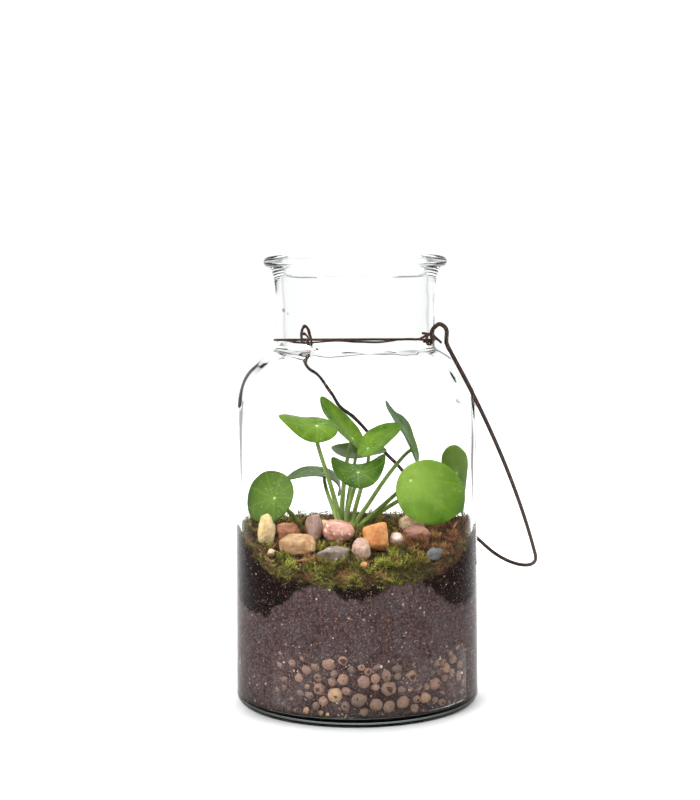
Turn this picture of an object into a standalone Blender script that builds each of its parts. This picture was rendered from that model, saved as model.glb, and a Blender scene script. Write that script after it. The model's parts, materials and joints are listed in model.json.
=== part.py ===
"""Glass plant terrarium: a wire-handled glass jar planted with a Chinese money plant.

The origin is the centre of the jar's flat base. +Z is up and -Y is the front.
All sizes in this file are millimetres and degrees; add_object turns them into metres.
"""
import math

import bpy
from mathutils import Matrix, Vector, noise

MM = 0.001

# Jar
JAR_HEIGHT = 275.0
JAR_SEGMENTS = 40
BODY_RADIUS = 75.0
BASE_CORNER = 6.0
BASE_THICKNESS = 7.5
BODY_WALL = 3.8
SHOULDER_CENTRE = (35.0, 180.5)
SHOULDER_RADIUS = BODY_RADIUS - SHOULDER_CENTRE[0]
NECK_RADIUS = 49.4
NECK_BORE = 44.5
NECK_FILLET = 3.0
RIM_RADIUS = 57.2
RIM_HEIGHT = 6.5
INNER_RADIUS = BODY_RADIUS - BODY_WALL

# Fill, from the base up
GAP = 0.35
FILL_RADIUS = INNER_RADIUS - GAP
CLAY_TOP = 45.0
CLAY_BUMP = 1.2
SOIL_BOTTOM = 46.8
SOIL_BACK = 101.0
SOIL_MOUND = 2.0
SOIL_MOUND_WIDTH = 38.0
SOIL_FRONT_DROP = 16.0
SLOPE_START = -15.0
MOSS_THICKNESS = 6.0
MOSS_EDGE = 0.8
MOSS_SEAT = 0.8
MOSS_SPAN = 7.0

# Neck wire and its two eyes
FRONT_EYE = math.radians(-44.5)
REAR_EYE = math.radians(130.0)
WIRE_RADIUS = 0.75
RING_RADIUS = NECK_RADIUS + GAP + WIRE_RADIUS
RING_HEIGHT = 223.3
RING_TILT = 0.8
EYE_RADIUS = 3.2
EYE_REACH = 60.1
EYE_PITCH = 2 * WIRE_RADIUS + 0.45

# Bail handle
BAIL_RADIUS = 1.25
HINGE_HEIGHT = 223.0
EYE_HEIGHT = HINGE_HEIGHT + EYE_RADIUS - WIRE_RADIUS - BAIL_RADIUS - 0.3
REST_SWING = math.radians(44.0)
LEG_START = 73.9
LEG_TAPER = 0.253
LEG_BOW = 7.08
LEG_LENGTH = 205.8
REAR_TUCK = 15.0
REAR_TUCK_LENGTH = 48.0

# Plant
CROWN = Vector((-6.0, 6.0, 0.0))
CROWN_RADIUS = 3.2
CROWN_HEIGHT = 12.0
PETIOLE_RADIUS = 1.15
STALK_SEAT = 1.25
TWIG_RADIUS = 0.7
TWIG_SEAT = 0.65
BLADE_THICKNESS = 0.9
BLADE_SIDES = 16


def clear_scene():
    for item in list(bpy.data.objects):
        bpy.data.objects.remove(item)


def material(name, colour, roughness, metallic=0.0, transmission=0.0):
    made = bpy.data.materials.new(name)
    made.use_nodes = True
    shader = made.node_tree.nodes["Principled BSDF"]
    shader.inputs["Base Color"].default_value = (*colour, 1.0)
    shader.inputs["Roughness"].default_value = roughness
    shader.inputs["Metallic"].default_value = metallic
    shader.inputs["Transmission Weight"].default_value = transmission
    return made


def add_object(name, points, faces, look, location=(0, 0, 0), rotation=(0, 0, 0)):
    """A named mesh object from millimetre points, shaded smooth with sharp edges kept."""
    mesh = bpy.data.meshes.new(name)
    mesh.from_pydata([Vector(p) * MM for p in points], [], faces)
    mesh.update()
    mesh.shade_smooth()
    mesh.set_sharp_from_angle(angle=math.radians(50))
    mesh.materials.append(look)
    made = bpy.data.objects.new(name, mesh)
    made.location = Vector(location) * MM
    made.rotation_euler = rotation
    bpy.context.collection.objects.link(made)
    return made


def arc(centre, radius, start, end, steps):
    """Points on an arc in the (radius, height) plane, from start to end in degrees."""
    angles = [math.radians(start + (end - start) * k / steps) for k in range(steps + 1)]
    return [(centre[0] + radius * math.cos(a), centre[1] + radius * math.sin(a)) for a in angles]


def bearing(centre, point):
    return math.degrees(math.atan2(point[1] - centre[1], point[0] - centre[0]))


def lathe(profile, segments):
    """Turn a profile that starts and ends on the axis; it runs anticlockwise from the base."""
    points = [(0.0, 0.0, profile[0][1])]
    faces = []
    rings = profile[1:-1]
    for radius, height in rings:
        for k in range(segments):
            a = 2 * math.pi * k / segments
            points.append((radius * math.cos(a), radius * math.sin(a), height))
    points.append((0.0, 0.0, profile[-1][1]))
    last = len(points) - 1
    for k in range(segments):
        n = (k + 1) % segments
        faces.append((0, 1 + n, 1 + k))
        top = 1 + (len(rings) - 1) * segments
        faces.append((last, top + k, top + n))
        for ring in range(len(rings) - 1):
            low, high = 1 + ring * segments, 1 + (ring + 1) * segments
            faces.append((low + k, low + n, high + n, high + k))
    return points, faces


def sweep(path, radius, sides):
    """A round wire along a path, with flat ends."""
    path = [Vector(p) for p in path]
    count = len(path)
    side = None
    points, faces = [], []
    for k, here in enumerate(path):
        along = (path[min(k + 1, count - 1)] - path[max(k - 1, 0)]).normalized()
        if side is None:
            side = along.orthogonal().normalized()
        side = (side - along * side.dot(along)).normalized()
        other = along.cross(side)
        for j in range(sides):
            a = 2 * math.pi * j / sides
            points.append(here + (side * math.cos(a) + other * math.sin(a)) * radius)
    for k in range(count - 1):
        for j in range(sides):
            n = (j + 1) % sides
            faces.append((k * sides + j, k * sides + n, (k + 1) * sides + n, (k + 1) * sides + j))
    faces.append(tuple(reversed(range(sides))))
    faces.append(tuple(range((count - 1) * sides, count * sides)))
    return points, faces


def smooth(knots, steps):
    """A Catmull-Rom curve through the knots, with steps points to each stretch."""
    knots = [Vector(p) for p in knots]
    padded = [2 * knots[0] - knots[1]] + knots + [2 * knots[-1] - knots[-2]]
    curve = []
    for a, b, c, d in zip(padded, padded[1:], padded[2:], padded[3:]):
        for k in range(steps):
            t = k / steps
            curve.append(0.5 * (2 * b + (c - a) * t + (2 * a - 5 * b + 4 * c - d) * t * t
                                + (3 * b - a - 3 * c + d) * t ** 3))
    return curve + [knots[-1]]


# Jar ------------------------------------------------------------------------

def jar_profile():
    """Outside from the base centre to the rim, then inside down to the floor's centre."""
    r0, z0 = SHOULDER_CENTRE
    fillet_r = NECK_RADIUS + NECK_FILLET
    fillet_z = z0 + math.sqrt((SHOULDER_RADIUS + NECK_FILLET) ** 2 - (fillet_r - r0) ** 2)
    shoulder_end = bearing((r0, z0), (fillet_r, fillet_z))
    outside = [(0.0, 0.0)]
    outside += arc((BODY_RADIUS - BASE_CORNER, BASE_CORNER), BASE_CORNER, -90, 0, 3)
    outside += arc((r0, z0), SHOULDER_RADIUS, 0, shoulder_end, 7)
    outside += arc((fillet_r, fillet_z), NECK_FILLET, 180 + shoulder_end, 180, 2)[1:]
    outside += [(NECK_RADIUS, 250.0), (NECK_RADIUS + 0.9, 260.0), (NECK_RADIUS + 2.8, 266.0)]
    half_rim = RIM_HEIGHT / 2
    rim_centre = (RIM_RADIUS - half_rim, JAR_HEIGHT - half_rim)
    outside += arc(rim_centre, half_rim, -90, 90, 4)

    inner_shoulder = INNER_RADIUS - r0
    lip = 4.0
    lip_r = NECK_BORE + lip
    lip_z = z0 + math.sqrt((inner_shoulder + lip) ** 2 - (lip_r - r0) ** 2)
    inner_end = bearing((r0, z0), (lip_r, lip_z))
    inside = arc((NECK_BORE + 2.0, JAR_HEIGHT - 2.0), 2.0, 90, 180, 2)
    inside += arc((lip_r, lip_z), lip, 180, 180 + inner_end, 2)
    inside += arc((r0, z0), inner_shoulder, inner_end, 0, 6)[1:]
    floor_corner = 8.0
    corner_centre = (INNER_RADIUS - floor_corner, BASE_THICKNESS + floor_corner)
    inside += arc(corner_centre, floor_corner, 0, -90, 3)
    return outside + inside + [(0.0, BASE_THICKNESS)]


def make_jar(look):
    add_object("glass_jar", *lathe(jar_profile(), JAR_SEGMENTS), look)


# Neck wire and bail ---------------------------------------------------------

def eye_frame(eye):
    """Outward and tangential directions at the eye on this bearing."""
    outward = Vector((math.cos(eye), math.sin(eye), 0.0))
    return outward, Vector((-outward.y, outward.x, 0.0))


def hinge_frame():
    """Middle of the line through both eyes, and that line's direction, rear to front."""
    front, rear = eye_frame(FRONT_EYE)[0] * EYE_REACH, eye_frame(REAR_EYE)[0] * EYE_REACH
    middle = (front + rear) / 2
    middle.z = HINGE_HEIGHT
    return middle, (front - rear).normalized()


def eye_turn(eye, start, end, reach_in, reach_out, steps):
    """Wire wound about an eye's outward axis, between two angles from its lowest point."""
    outward, along = eye_frame(eye)
    turn = []
    for k in range(steps + 1):
        a = math.radians(start + (end - start) * k / steps)
        reach = reach_in + (reach_out - reach_in) * k / steps
        turn.append(outward * reach - along * EYE_RADIUS * math.sin(a)
                    + Vector((0, 0, EYE_HEIGHT - EYE_RADIUS * math.cos(a))))
    return turn


def ring_arc(start, end, steps):
    """Part of the ring round the neck, which lies a little higher at the front."""
    angles = [start + (end - start) * k / steps for k in range(steps + 1)]
    return [Vector((RING_RADIUS * math.cos(a), RING_RADIUS * math.sin(a),
                    RING_HEIGHT - RING_TILT * math.sin(a))) for a in angles]


def neck_wire_path():
    """From the cut end beside the front eye, round its eye, the neck and the far eye."""
    outward, along = eye_frame(FRONT_EYE)
    leave = math.acos(RING_RADIUS / EYE_REACH)
    inward = (-along * math.cos(leave) - outward * math.sin(leave))
    outer = EYE_REACH + 1.25 * EYE_PITCH
    cut_end = [outward * outer + along * t + Vector((0, 0, EYE_HEIGHT + z))
               for t, z in ((9.4, -2.1), (5.5, 0.3), (3.0, 1.8))]
    leaving = [outward * EYE_REACH + inward * t + Vector((0, 0, EYE_HEIGHT + z))
               for t, z in ((4.4, 0.5), (7.0, 0.0))]
    rear_outward, rear_along = eye_frame(REAR_EYE)
    rear_outer = EYE_REACH + EYE_PITCH / 2
    onward = [rear_outward * (rear_outer - 0.4) - rear_along * 3.2
              + Vector((0, 0, EYE_HEIGHT - EYE_RADIUS - 0.1))]
    steps = 18
    near_half = ring_arc(FRONT_EYE - leave, REAR_EYE - 2 * math.pi + leave, steps)
    far_half = ring_arc(REAR_EYE - 2 * math.pi - leave, FRONT_EYE - 2 * math.pi + leave, steps)
    tail = [outward * (EYE_REACH - 1.4 * EYE_PITCH) + along * t + Vector((0, 0, EYE_HEIGHT + z))
            for t, z in ((9.0, 1.8), (3.0, 3.2), (-1.5, 3.6))]
    return (cut_end + eye_turn(FRONT_EYE, 211, -235, outer, EYE_REACH, 17) + leaving + near_half
            + eye_turn(REAR_EYE, 0, 360, EYE_REACH - EYE_PITCH / 2, rear_outer, 14)
            + onward + far_half + tail)


def bail_outline():
    """The front end's hook, the front leg down to its foot, and half of the bend."""
    hook = [(57.0, 0), (60.0, 0), (63.6, 0), (65.2, 1.5), (66.9, 5.5), (70.4, 9.3),
            (74.9, 12.2), (79.4, 14.0), (81.8, 11.5), (80.8, 7.7), (77.4, 3.0), (74.5, -1.2)]
    leg = []
    for k in range(1, 11):
        drop = LEG_LENGTH * k / 10
        part = drop / LEG_LENGTH
        leg.append((LEG_START - LEG_TAPER * drop + 4 * LEG_BOW * part * (1 - part), -drop))
    lean = math.atan(LEG_TAPER + 4 * LEG_BOW / LEG_LENGTH)
    end_radius = leg[-1][0] / math.cos(lean)
    centre = (0, -LEG_LENGTH + end_radius * math.sin(lean))
    bend = arc(centre, end_radius, -math.degrees(lean), -90, 5)[1:]
    return hook, leg, bend


def rear_hook():
    """The rear end's hook: out along the hinge, up and over towards the leg; with the rest
    pose's directions, sideways and up, turned back into the bail's own plane."""
    knots = [(57.0, 0, 0), (60.0, 0, 0), (63.0, 0, 0.2), (64.6, 0.1, 1.8), (64.8, 0.6, 4.4),
             (64.4, 2.2, 7.4), (63.6, 4.8, 8.2), (62.8, 6.8, 6.0), (62.4, 7.8, 1.8),
             (62.6, 8.2, -3.5), (63.8, 9.0, -9.3)]
    c, s = math.cos(REST_SWING), math.sin(REST_SWING)
    return [Vector((-out, side * c + up * s, up * c - side * s)) for out, side, up in knots]


def bail_path():
    """The whole bail, from the front end's tip round to the rear end's."""
    hook, leg, bend = bail_outline()
    front = smooth([(s, 0, z) for s, z in hook], 2)
    front += [Vector((s, 0, z)) for s, z in leg + bend]
    rear = [Vector((-s, 0, z)) for s, z in bend[-2::-1]]
    for s, z in leg[::-1]:
        rear.append(Vector((-(s - REAR_TUCK * max(0.0, 1 + z / REAR_TUCK_LENGTH) ** 2), 0, z)))
    return front + rear + smooth(rear_hook(), 2)[::-1]


def make_wires(look_ring, look_bail):
    add_object("neck_wire", *sweep(neck_wire_path(), WIRE_RADIUS, 6), look_ring)
    middle, direction = hinge_frame()
    turn = math.atan2(direction.y, direction.x)
    add_object("bail_handle", *sweep(bail_path(), BAIL_RADIUS, 8), look_bail,
               location=middle, rotation=(REST_SWING, 0, turn))


# Fill -----------------------------------------------------------------------

def soil_height(x, y):
    """Top of the soil: a low mound in the middle that slopes down to the front glass."""
    t = min(1.0, max(0.0, (SLOPE_START - y) / (INNER_RADIUS + SLOPE_START)))
    drop = SOIL_FRONT_DROP * t * t * (3 - 2 * t)
    mound = SOIL_MOUND * math.exp(-(x * x + y * y) / SOIL_MOUND_WIDTH ** 2)
    ripple = 0.5 * math.sin(x / 9.0) * math.cos(y / 11.0)
    return SOIL_BACK - drop + mound + ripple


def clay_bump(x, y, z):
    """0 in the gaps between clay balls and 1 on their crowns."""
    near = noise.voronoi(Vector((x, y, z)) / 9.0)[0][0]
    return max(0.0, 1.0 - near * 1.6)


def make_clay(look):
    segments, rows = JAR_SEGMENTS, 4
    bottom = BASE_THICKNESS + GAP
    corner = 8.0
    profile = [(0.0, bottom)]
    profile += [(FILL_RADIUS - corner, bottom), (FILL_RADIUS - 2.5, bottom + 2.8)]
    profile += [(FILL_RADIUS, bottom + corner + (CLAY_TOP - bottom - corner) * k / rows)
                for k in range(rows + 1)]
    profile += [(FILL_RADIUS * k / 5, CLAY_TOP) for k in (4, 3, 2, 1)] + [(0.0, CLAY_TOP)]
    points, faces = lathe(profile, segments)
    bumpy = []
    for x, y, z in points:
        sunk = CLAY_BUMP * (1 - clay_bump(x, y, z))
        radius = math.hypot(x, y)
        if radius > FILL_RADIUS - 1:
            x, y = x * (1 - sunk / radius), y * (1 - sunk / radius)
        if z > CLAY_TOP - 1:
            z -= sunk
        bumpy.append((x, y, z))
    add_object("drainage_clay", bumpy, faces, look)


def make_soil(look):
    rings = 7
    profile = [(0.0, SOIL_BOTTOM), (FILL_RADIUS, SOIL_BOTTOM)]
    profile += [(FILL_RADIUS * k / rings, SOIL_BACK) for k in range(rings, 0, -1)]
    points, faces = lathe(profile + [(0.0, SOIL_BACK)], JAR_SEGMENTS)
    shaped = [(x, y, soil_height(x, y) if z > SOIL_BOTTOM else z) for x, y, z in points]
    add_object("potting_soil", shaped, faces, look)


def moss_rise(x, y, thickness, edge=1.0):
    """Height of a cushion's top above its underside, lumpy and thinner towards its edge."""
    lump = 0.75 + 0.25 * math.sin(x / 3.1 + y / 4.3) * math.cos(y / 3.7)
    return MOSS_EDGE + (thickness - MOSS_EDGE) * edge * lump


def moss_pad(name, inner, start, end, look, thickness=MOSS_THICKNESS, centre=(0.0, 0.0),
             outer=FILL_RADIUS - 0.4):
    """A cushion over a sector of the soil."""
    spans = max(5, round(outer * math.radians(end - start) / MOSS_SPAN))
    rows = 5
    points, faces = [], []
    for layer in range(2):
        for i in range(rows + 1):
            radius = inner + (outer - inner) * i / rows
            for j in range(spans + 1):
                a = math.radians(start + (end - start) * j / spans)
                x = centre[0] + radius * math.cos(a)
                y = centre[1] + radius * math.sin(a)
                z = soil_height(x, y) + MOSS_SEAT
                if layer:
                    edge = min(i / 1.5, j / 1.5, (spans - j) / 1.5, 1.0)
                    z += moss_rise(x, y, thickness, edge)
                points.append((x, y, z))
    width = spans + 1
    layer_size = (rows + 1) * width
    for i in range(rows):
        for j in range(spans):
            a = i * width + j
            faces.append((a, a + 1, a + width + 1, a + width))
            b = a + layer_size
            faces.append((b, b + width, b + width + 1, b + 1))
    border = [j for j in range(width)]
    border += [i * width + spans for i in range(1, rows + 1)]
    border += [rows * width + j for j in range(spans - 1, -1, -1)]
    border += [i * width for i in range(rows - 1, 0, -1)]
    for a, b in zip(border, border[1:] + border[:1]):
        faces.append((b, a, a + layer_size, b + layer_size))
    add_object(name, points, faces, look)


def make_moss(look):
    moss_pad("moss_front", 61.0, -136, -54, look)
    moss_pad("moss_right", 54.0, -40, 4, look, thickness=7.0)
    moss_pad("moss_back_right", 42.0, 8, 46, look)
    moss_pad("moss_back", 24.0, 66, 102, look)
    moss_pad("moss_back_left", 24.0, 106, 146, look)
    moss_pad("moss_left", 44.0, 150, 188, look)
    moss_pad("moss_middle", 1.5, -100, 80, look, centre=(4.0, -13.0), outer=9.0, thickness=5.0)


# Pebbles: centre x and y, half sizes, turn about Z, tilt, how square, colour
PEBBLES = {
    "pebble_cream_tall": (-54, -28, (5.0, 4.6, 8.6), 10, 12, 0.5, (0.72, 0.55, 0.30)),
    "pebble_brown_red": (-41, -24, (6.6, 5.6, 5.4), 30, 8, 0.5, (0.36, 0.17, 0.10)),
    "pebble_tan_block": (-34, -41, (9.6, 5.6, 6.2), -8, 4, 0.8, (0.66, 0.45, 0.27)),
    "pebble_mauve": (-25.5, -27, (4.6, 5.4, 8.0), 20, -6, 0.4, (0.50, 0.40, 0.40)),
    "pebble_cream_small": (-20, -13, (5.6, 4.4, 4.6), 0, 10, 0.3, (0.74, 0.62, 0.42)),
    "pebble_pink_oval": (-11, -31, (8.2, 7.4, 7.4), 12, 20, 0.2, (0.52, 0.28, 0.24)),
    "pebble_grey_brown": (-13, -48, (9.0, 4.6, 4.2), 6, 5, 0.3, (0.36, 0.29, 0.25)),
    "pebble_pinkish": (2.5, -47, (5.4, 4.8, 6.4), -20, 18, 0.3, (0.56, 0.38, 0.31)),
    "pebble_orange": (12, -37, (7.4, 6.0, 8.4), 35, -8, 0.6, (0.62, 0.28, 0.10)),
    "pebble_pink_white": (24, -30, (4.4, 3.8, 3.6), 0, 0, 0.2, (0.66, 0.48, 0.42)),
    "pebble_reddish_flat": (37, -23, (8.0, 5.4, 4.0), -10, 5, 0.3, (0.44, 0.22, 0.16)),
    "pebble_tan_back": (34, -5, (7.6, 6.0, 6.0), 20, -10, 0.5, (0.62, 0.44, 0.27)),
    "pebble_purple": (22, 29, (4.2, 3.8, 4.4), 0, 0, 0.2, (0.20, 0.12, 0.12)),
    "pebble_slate": (45, -47, (5.6, 2.6, 3.4), 46, 14, 0.6, (0.30, 0.33, 0.35)),
    "pebble_cream_bead": (-50, -41, (2.2, 2.0, 2.4), 0, 0, 0.2, (0.70, 0.56, 0.36)),
    "pebble_orange_bead": (4, -56, (3.0, 2.4, 2.4), 15, 0, 0.2, (0.60, 0.30, 0.12)),
}


def make_pebble(name, spec):
    """A rounded stone, lowered until it rests just above the soil."""
    x, y, half, turn, tilt, square, colour = spec
    rings, segments = 6, 10
    turned = Matrix.Rotation(math.radians(turn), 3, "Z") @ Matrix.Rotation(math.radians(tilt), 3, "X")
    profile = arc((0, 0), 1.0, -90, 90, rings)
    points, faces = lathe(profile, segments)
    power = 1.0 - 0.45 * square
    shaped = []
    for p in points:
        p = Vector([math.copysign(abs(c) ** power, c) for c in p])
        lump = 1.0 + 0.10 * noise.noise(p * 1.3 + Vector((x, y, 0)) * 0.7)
        shaped.append(turned @ Vector([c * h for c, h in zip(p * lump, half)]) + Vector((x, y, 0)))
    lift = max(soil_height(p.x, p.y) - p.z for p in shaped) + 0.6
    shaped = [p + Vector((0, 0, lift)) for p in shaped]
    add_object(name, shaped, faces, material(name, colour, 0.6))


# Plant ----------------------------------------------------------------------

# hub: where the stalk meets the blade; facing: upper side's direction; tip: long direction
# long, wide: half sizes; shift: hub to blade centre; curl: bend along and across (1/mm)
# root: stalk's foot as a bearing round the crown, or a place; rise: the foot's direction
LEAVES = {
    "leaf_left_upper": dict(hub=(-24.3, -11, 170.8), facing=(0.26, -0.5, 0.82),
                            tip=(-0.80, -0.1, 0.66), long=18.5, wide=14.5, shift=5,
                            curl=(-0.008, -0.035), twist=0.012, root=220,
                            rise=(-0.1, -0.1, 1), reach=(30, 14)),
    "leaf_top": dict(hub=(-2.5, 13, 160.8), facing=(0.70, -0.38, 0.60), tip=(-0.655, 0.0, 0.755),
                     long=21, wide=13, shift=10.5, curl=(0.0, 0.03), root=140,
                     rise=(0, 0.1, 1), reach=(25, 4)),
    "leaf_right_upper": dict(hub=(7, -2, 155.7), facing=(-0.45, -0.5, 0.74), tip=(0.72, 0.0, 0.70),
                             long=16, wide=12.5, shift=9, curl=(0.0, 0.02), root=300,
                             rise=(0.1, 0, 1), reach=(20, 10)),
    "leaf_front_cup": dict(hub=(1, -16, 142.3), facing=(0.0, -0.45, 0.89), tip=(1, 0, 0.08),
                           long=19.5, wide=14.5, shift=0, curl=(0.052, -0.03), root=260,
                           rise=(-0.1, 0, 1), reach=(14, 9)),
    "leaf_back": dict(hub=(-0.5, 34, 150), facing=(0.05, 0.42, 0.90), tip=(1, 0, -0.03),
                      long=18, wide=15, shift=2, curl=(0.012, 0.01), root=100,
                      rise=(0, 0.2, 1), reach=(20, 14)),
    "leaf_left_back": dict(hub=(-20.5, 23, 138.5), facing=(0.1, -0.12, 0.98),
                           tip=(-0.96, -0.05, 0.05), long=23, wide=15, shift=1,
                           curl=(-0.018, 0.0), droop=-0.09, root=180,
                           rise=(-0.1, 0.15, 1), reach=(14, 12)),
    "leaf_left_low": dict(hub=(-50.8, -9, 126), facing=(-0.42, -0.82, 0.38), tip=(-0.72, 0.1, 0.20),
                          long=17.5, wide=16.5, shift=4.5, curl=(-0.006, -0.008), root=(-33, 8),
                          rise=(-0.4, -0.1, 1), reach=(8, 7)),
    "leaf_right_front": dict(hub=(33.2, -16, 136.9), facing=(0.04, -0.97, 0.22),
                             tip=(0.84, 0, -0.54), long=20.3, wide=19.4, shift=13,
                             curl=(0.004, 0.004), root=-20, rise=(1, -0.2, 0.9),
                             reach=(16, 12)),
    "leaf_upright": dict(hub=(36.3, 22, 152.5), facing=(0.93, -0.17, 0.36), tip=(-0.36, 0, 0.93),
                         long=21.5, wide=16, shift=12.5, curl=(-0.007, 0.02), root=60,
                         rise=(0.7, 0.1, 1), reach=(22, 8)),
    "leaf_right_back": dict(hub=(64.9, 6, 138.5), facing=(0.88, 0.40, 0.1),
                            tip=(0.17, -0.05, -0.97), long=22, wide=15.5, shift=4,
                            curl=(-0.006, -0.022), twist=0.022, root=20,
                            rise=(1, 0.1, 0.8), reach=(24, 12)),
}


def blade_frame(leaf):
    """Tip, cross and facing directions of a blade, at right angles to each other."""
    facing = Vector(leaf["facing"]).normalized()
    tip = Vector(leaf["tip"])
    tip = (tip - facing * tip.dot(facing)).normalized()
    return tip, facing.cross(tip), facing


def blade_point(leaf, u, v):
    """The curled mid-surface at u along the blade and v across it, from the hub."""
    tip, cross, facing = blade_frame(leaf)
    bend_u, bend_v = (c or 1e-6 for c in leaf["curl"])
    if u < 0:
        bend_u = leaf.get("droop", bend_u)
    turn = Matrix.Rotation(leaf.get("twist", 0.0) * u, 3, tip)
    cross, facing = turn @ cross, turn @ facing
    along = math.sin(u * bend_u) / bend_u
    across = math.sin(v * bend_v) / bend_v
    lift = (1 - math.cos(u * bend_u)) / bend_u + (1 - math.cos(v * bend_v)) / bend_v
    return Vector(leaf["hub"]) + tip * along + cross * across + facing * lift


def blade_side(leaf, u, v, offset):
    """A point offset from the mid-surface along its own normal."""
    step = 0.01
    here = blade_point(leaf, u, v)
    normal = (blade_point(leaf, u + step, v) - here).cross(blade_point(leaf, u, v + step) - here)
    return here + normal.normalized() * offset


def blade_edge(leaf, angle):
    """The rounded outline with a faint point at the tip, seen from the hub."""
    point = 1.0 + 0.06 * max(0.0, math.cos(angle)) ** 6
    return (leaf["shift"] + leaf["long"] * math.cos(angle) * point,
            leaf["wide"] * math.sin(angle))


def stalk_root(leaf):
    if isinstance(leaf["root"], tuple):
        x, y = leaf["root"]
    else:
        a = math.radians(leaf["root"])
        ring = CROWN_RADIUS + GAP + PETIOLE_RADIUS
        x, y = CROWN.x + ring * math.cos(a), CROWN.y + ring * math.sin(a)
    return Vector((x, y, soil_height(x, y) + STALK_SEAT))


def stalk_path(leaf, steps):
    """A Bezier curve from just under the hub down to the stalk's foot."""
    facing = blade_frame(leaf)[2]
    hub = Vector(leaf["hub"])
    root = stalk_root(leaf)
    near_root, near_hub = leaf["reach"]
    rise = root + Vector(leaf["rise"]).normalized() * near_root
    under = hub - facing * near_hub
    path = []
    for k in range(1, steps + 1):
        t = k / steps
        path.append(hub * (1 - t) ** 3 + under * 3 * t * (1 - t) ** 2
                    + rise * 3 * t * t * (1 - t) + root * t ** 3)
    return path


def make_leaf(name, leaf, look):
    """Blade and stalk as one grown solid: upper side, rim, lower side, then down the stalk."""
    sides, rows, stalk_steps = BLADE_SIDES, 3, 7
    tip, cross, facing = blade_frame(leaf)
    half = BLADE_THICKNESS / 2
    angles = [2 * math.pi * k / sides for k in range(sides)]
    points = [blade_side(leaf, 0, 0, half)]

    def ring(share, offset):
        for a in angles:
            u, v = blade_edge(leaf, a)
            points.append(blade_side(leaf, u * share, v * share, offset))

    for row in range(1, rows + 1):
        ring(row / rows, half)
    for row in range(rows, 0, -1):
        ring(row / rows * 0.995, -half)
    for a in angles:
        u, v = PETIOLE_RADIUS * math.cos(a), PETIOLE_RADIUS * math.sin(a)
        points.append(blade_side(leaf, u, v, -half))
    path = stalk_path(leaf, stalk_steps)
    previous = Vector(leaf["hub"])
    side = tip
    for k, here in enumerate(path):
        ahead = path[min(k + 1, stalk_steps - 1)]
        along = (ahead - previous).normalized()
        side = (side - along * side.dot(along)).normalized()
        other = side.cross(along)
        for a in angles:
            points.append(here + (side * math.cos(a) + other * math.sin(a)) * PETIOLE_RADIUS)
        previous = here

    faces = [(0, 1 + k, 1 + (k + 1) % sides) for k in range(sides)]
    bands = (len(points) - 1) // sides
    for band in range(bands - 1):
        a, b = 1 + band * sides, 1 + (band + 1) * sides
        for k in range(sides):
            n = (k + 1) % sides
            faces.append((a + k, b + k, b + n, a + n))
    last = 1 + (bands - 1) * sides
    faces.append(tuple(last + k for k in reversed(range(sides))))
    add_object(name, points, faces, look)


def make_crown(look):
    base = soil_height(CROWN.x, CROWN.y) + 1.0
    profile = [(0.0, base), (CROWN_RADIUS, base), (CROWN_RADIUS * 0.9, base + CROWN_HEIGHT * 0.6),
               (CROWN_RADIUS * 0.5, base + CROWN_HEIGHT), (0.0, base + CROWN_HEIGHT)]
    points, faces = lathe(profile, 12)
    add_object("plant_stem", [Vector(p) + CROWN for p in points], faces, look)


def make_twig(name, start, end, look, cushion=MOSS_THICKNESS):
    """A bit of dead stem lying along the top of a moss cushion."""
    path = []
    steps = 4
    for k in range(steps + 1):
        x = start[0] + (end[0] - start[0]) * k / steps
        y = start[1] + (end[1] - start[1]) * k / steps
        moss_top = soil_height(x, y) + MOSS_SEAT + moss_rise(x, y, cushion)
        path.append(Vector((x, y, moss_top + TWIG_RADIUS + TWIG_SEAT)))
    add_object(name, *sweep(path, TWIG_RADIUS, 6), look)


def build():
    clear_scene()
    glass = material("clear_glass", (0.93, 0.96, 0.94), 0.02, transmission=1.0)
    rusty = material("rusty_wire", (0.09, 0.055, 0.045), 0.55, metallic=0.8)
    dark_wire = material("dark_wire", (0.07, 0.05, 0.045), 0.45, metallic=0.8)
    clay = material("expanded_clay", (0.30, 0.15, 0.09), 0.9)
    earth = material("potting_soil", (0.045, 0.025, 0.022), 0.95)
    moss = material("moss", (0.14, 0.17, 0.04), 0.9)
    leaf_green = material("leaf", (0.13, 0.33, 0.04), 0.35)
    stem_green = material("stem", (0.22, 0.30, 0.08), 0.5)
    bark = material("twig", (0.30, 0.14, 0.07), 0.8)

    make_jar(glass)
    make_wires(rusty, dark_wire)
    make_clay(clay)
    make_soil(earth)
    make_moss(moss)
    for name, spec in PEBBLES.items():
        make_pebble(name, spec)
    for name, leaf in LEAVES.items():
        make_leaf(name, leaf, leaf_green)
    make_crown(stem_green)
    make_twig("twig_front", (-36, -54), (-28, -58), bark)
    make_twig("twig_right", (59, -24), (61, -12), bark, cushion=7.5)
    make_twig("twig_left", (-62, 6), (-55, 12), bark)


build()
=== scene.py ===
"""The looks of the glass plant terrarium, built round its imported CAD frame."""
from collections import namedtuple
import json
from math import acos, atan, atan2, copysign, cos, degrees, exp, hypot, pi, radians, sin, sqrt

import bmesh
import bpy
import numpy as np
from mathutils import Matrix, Vector
from mathutils.noise import fractal, noise


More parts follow.
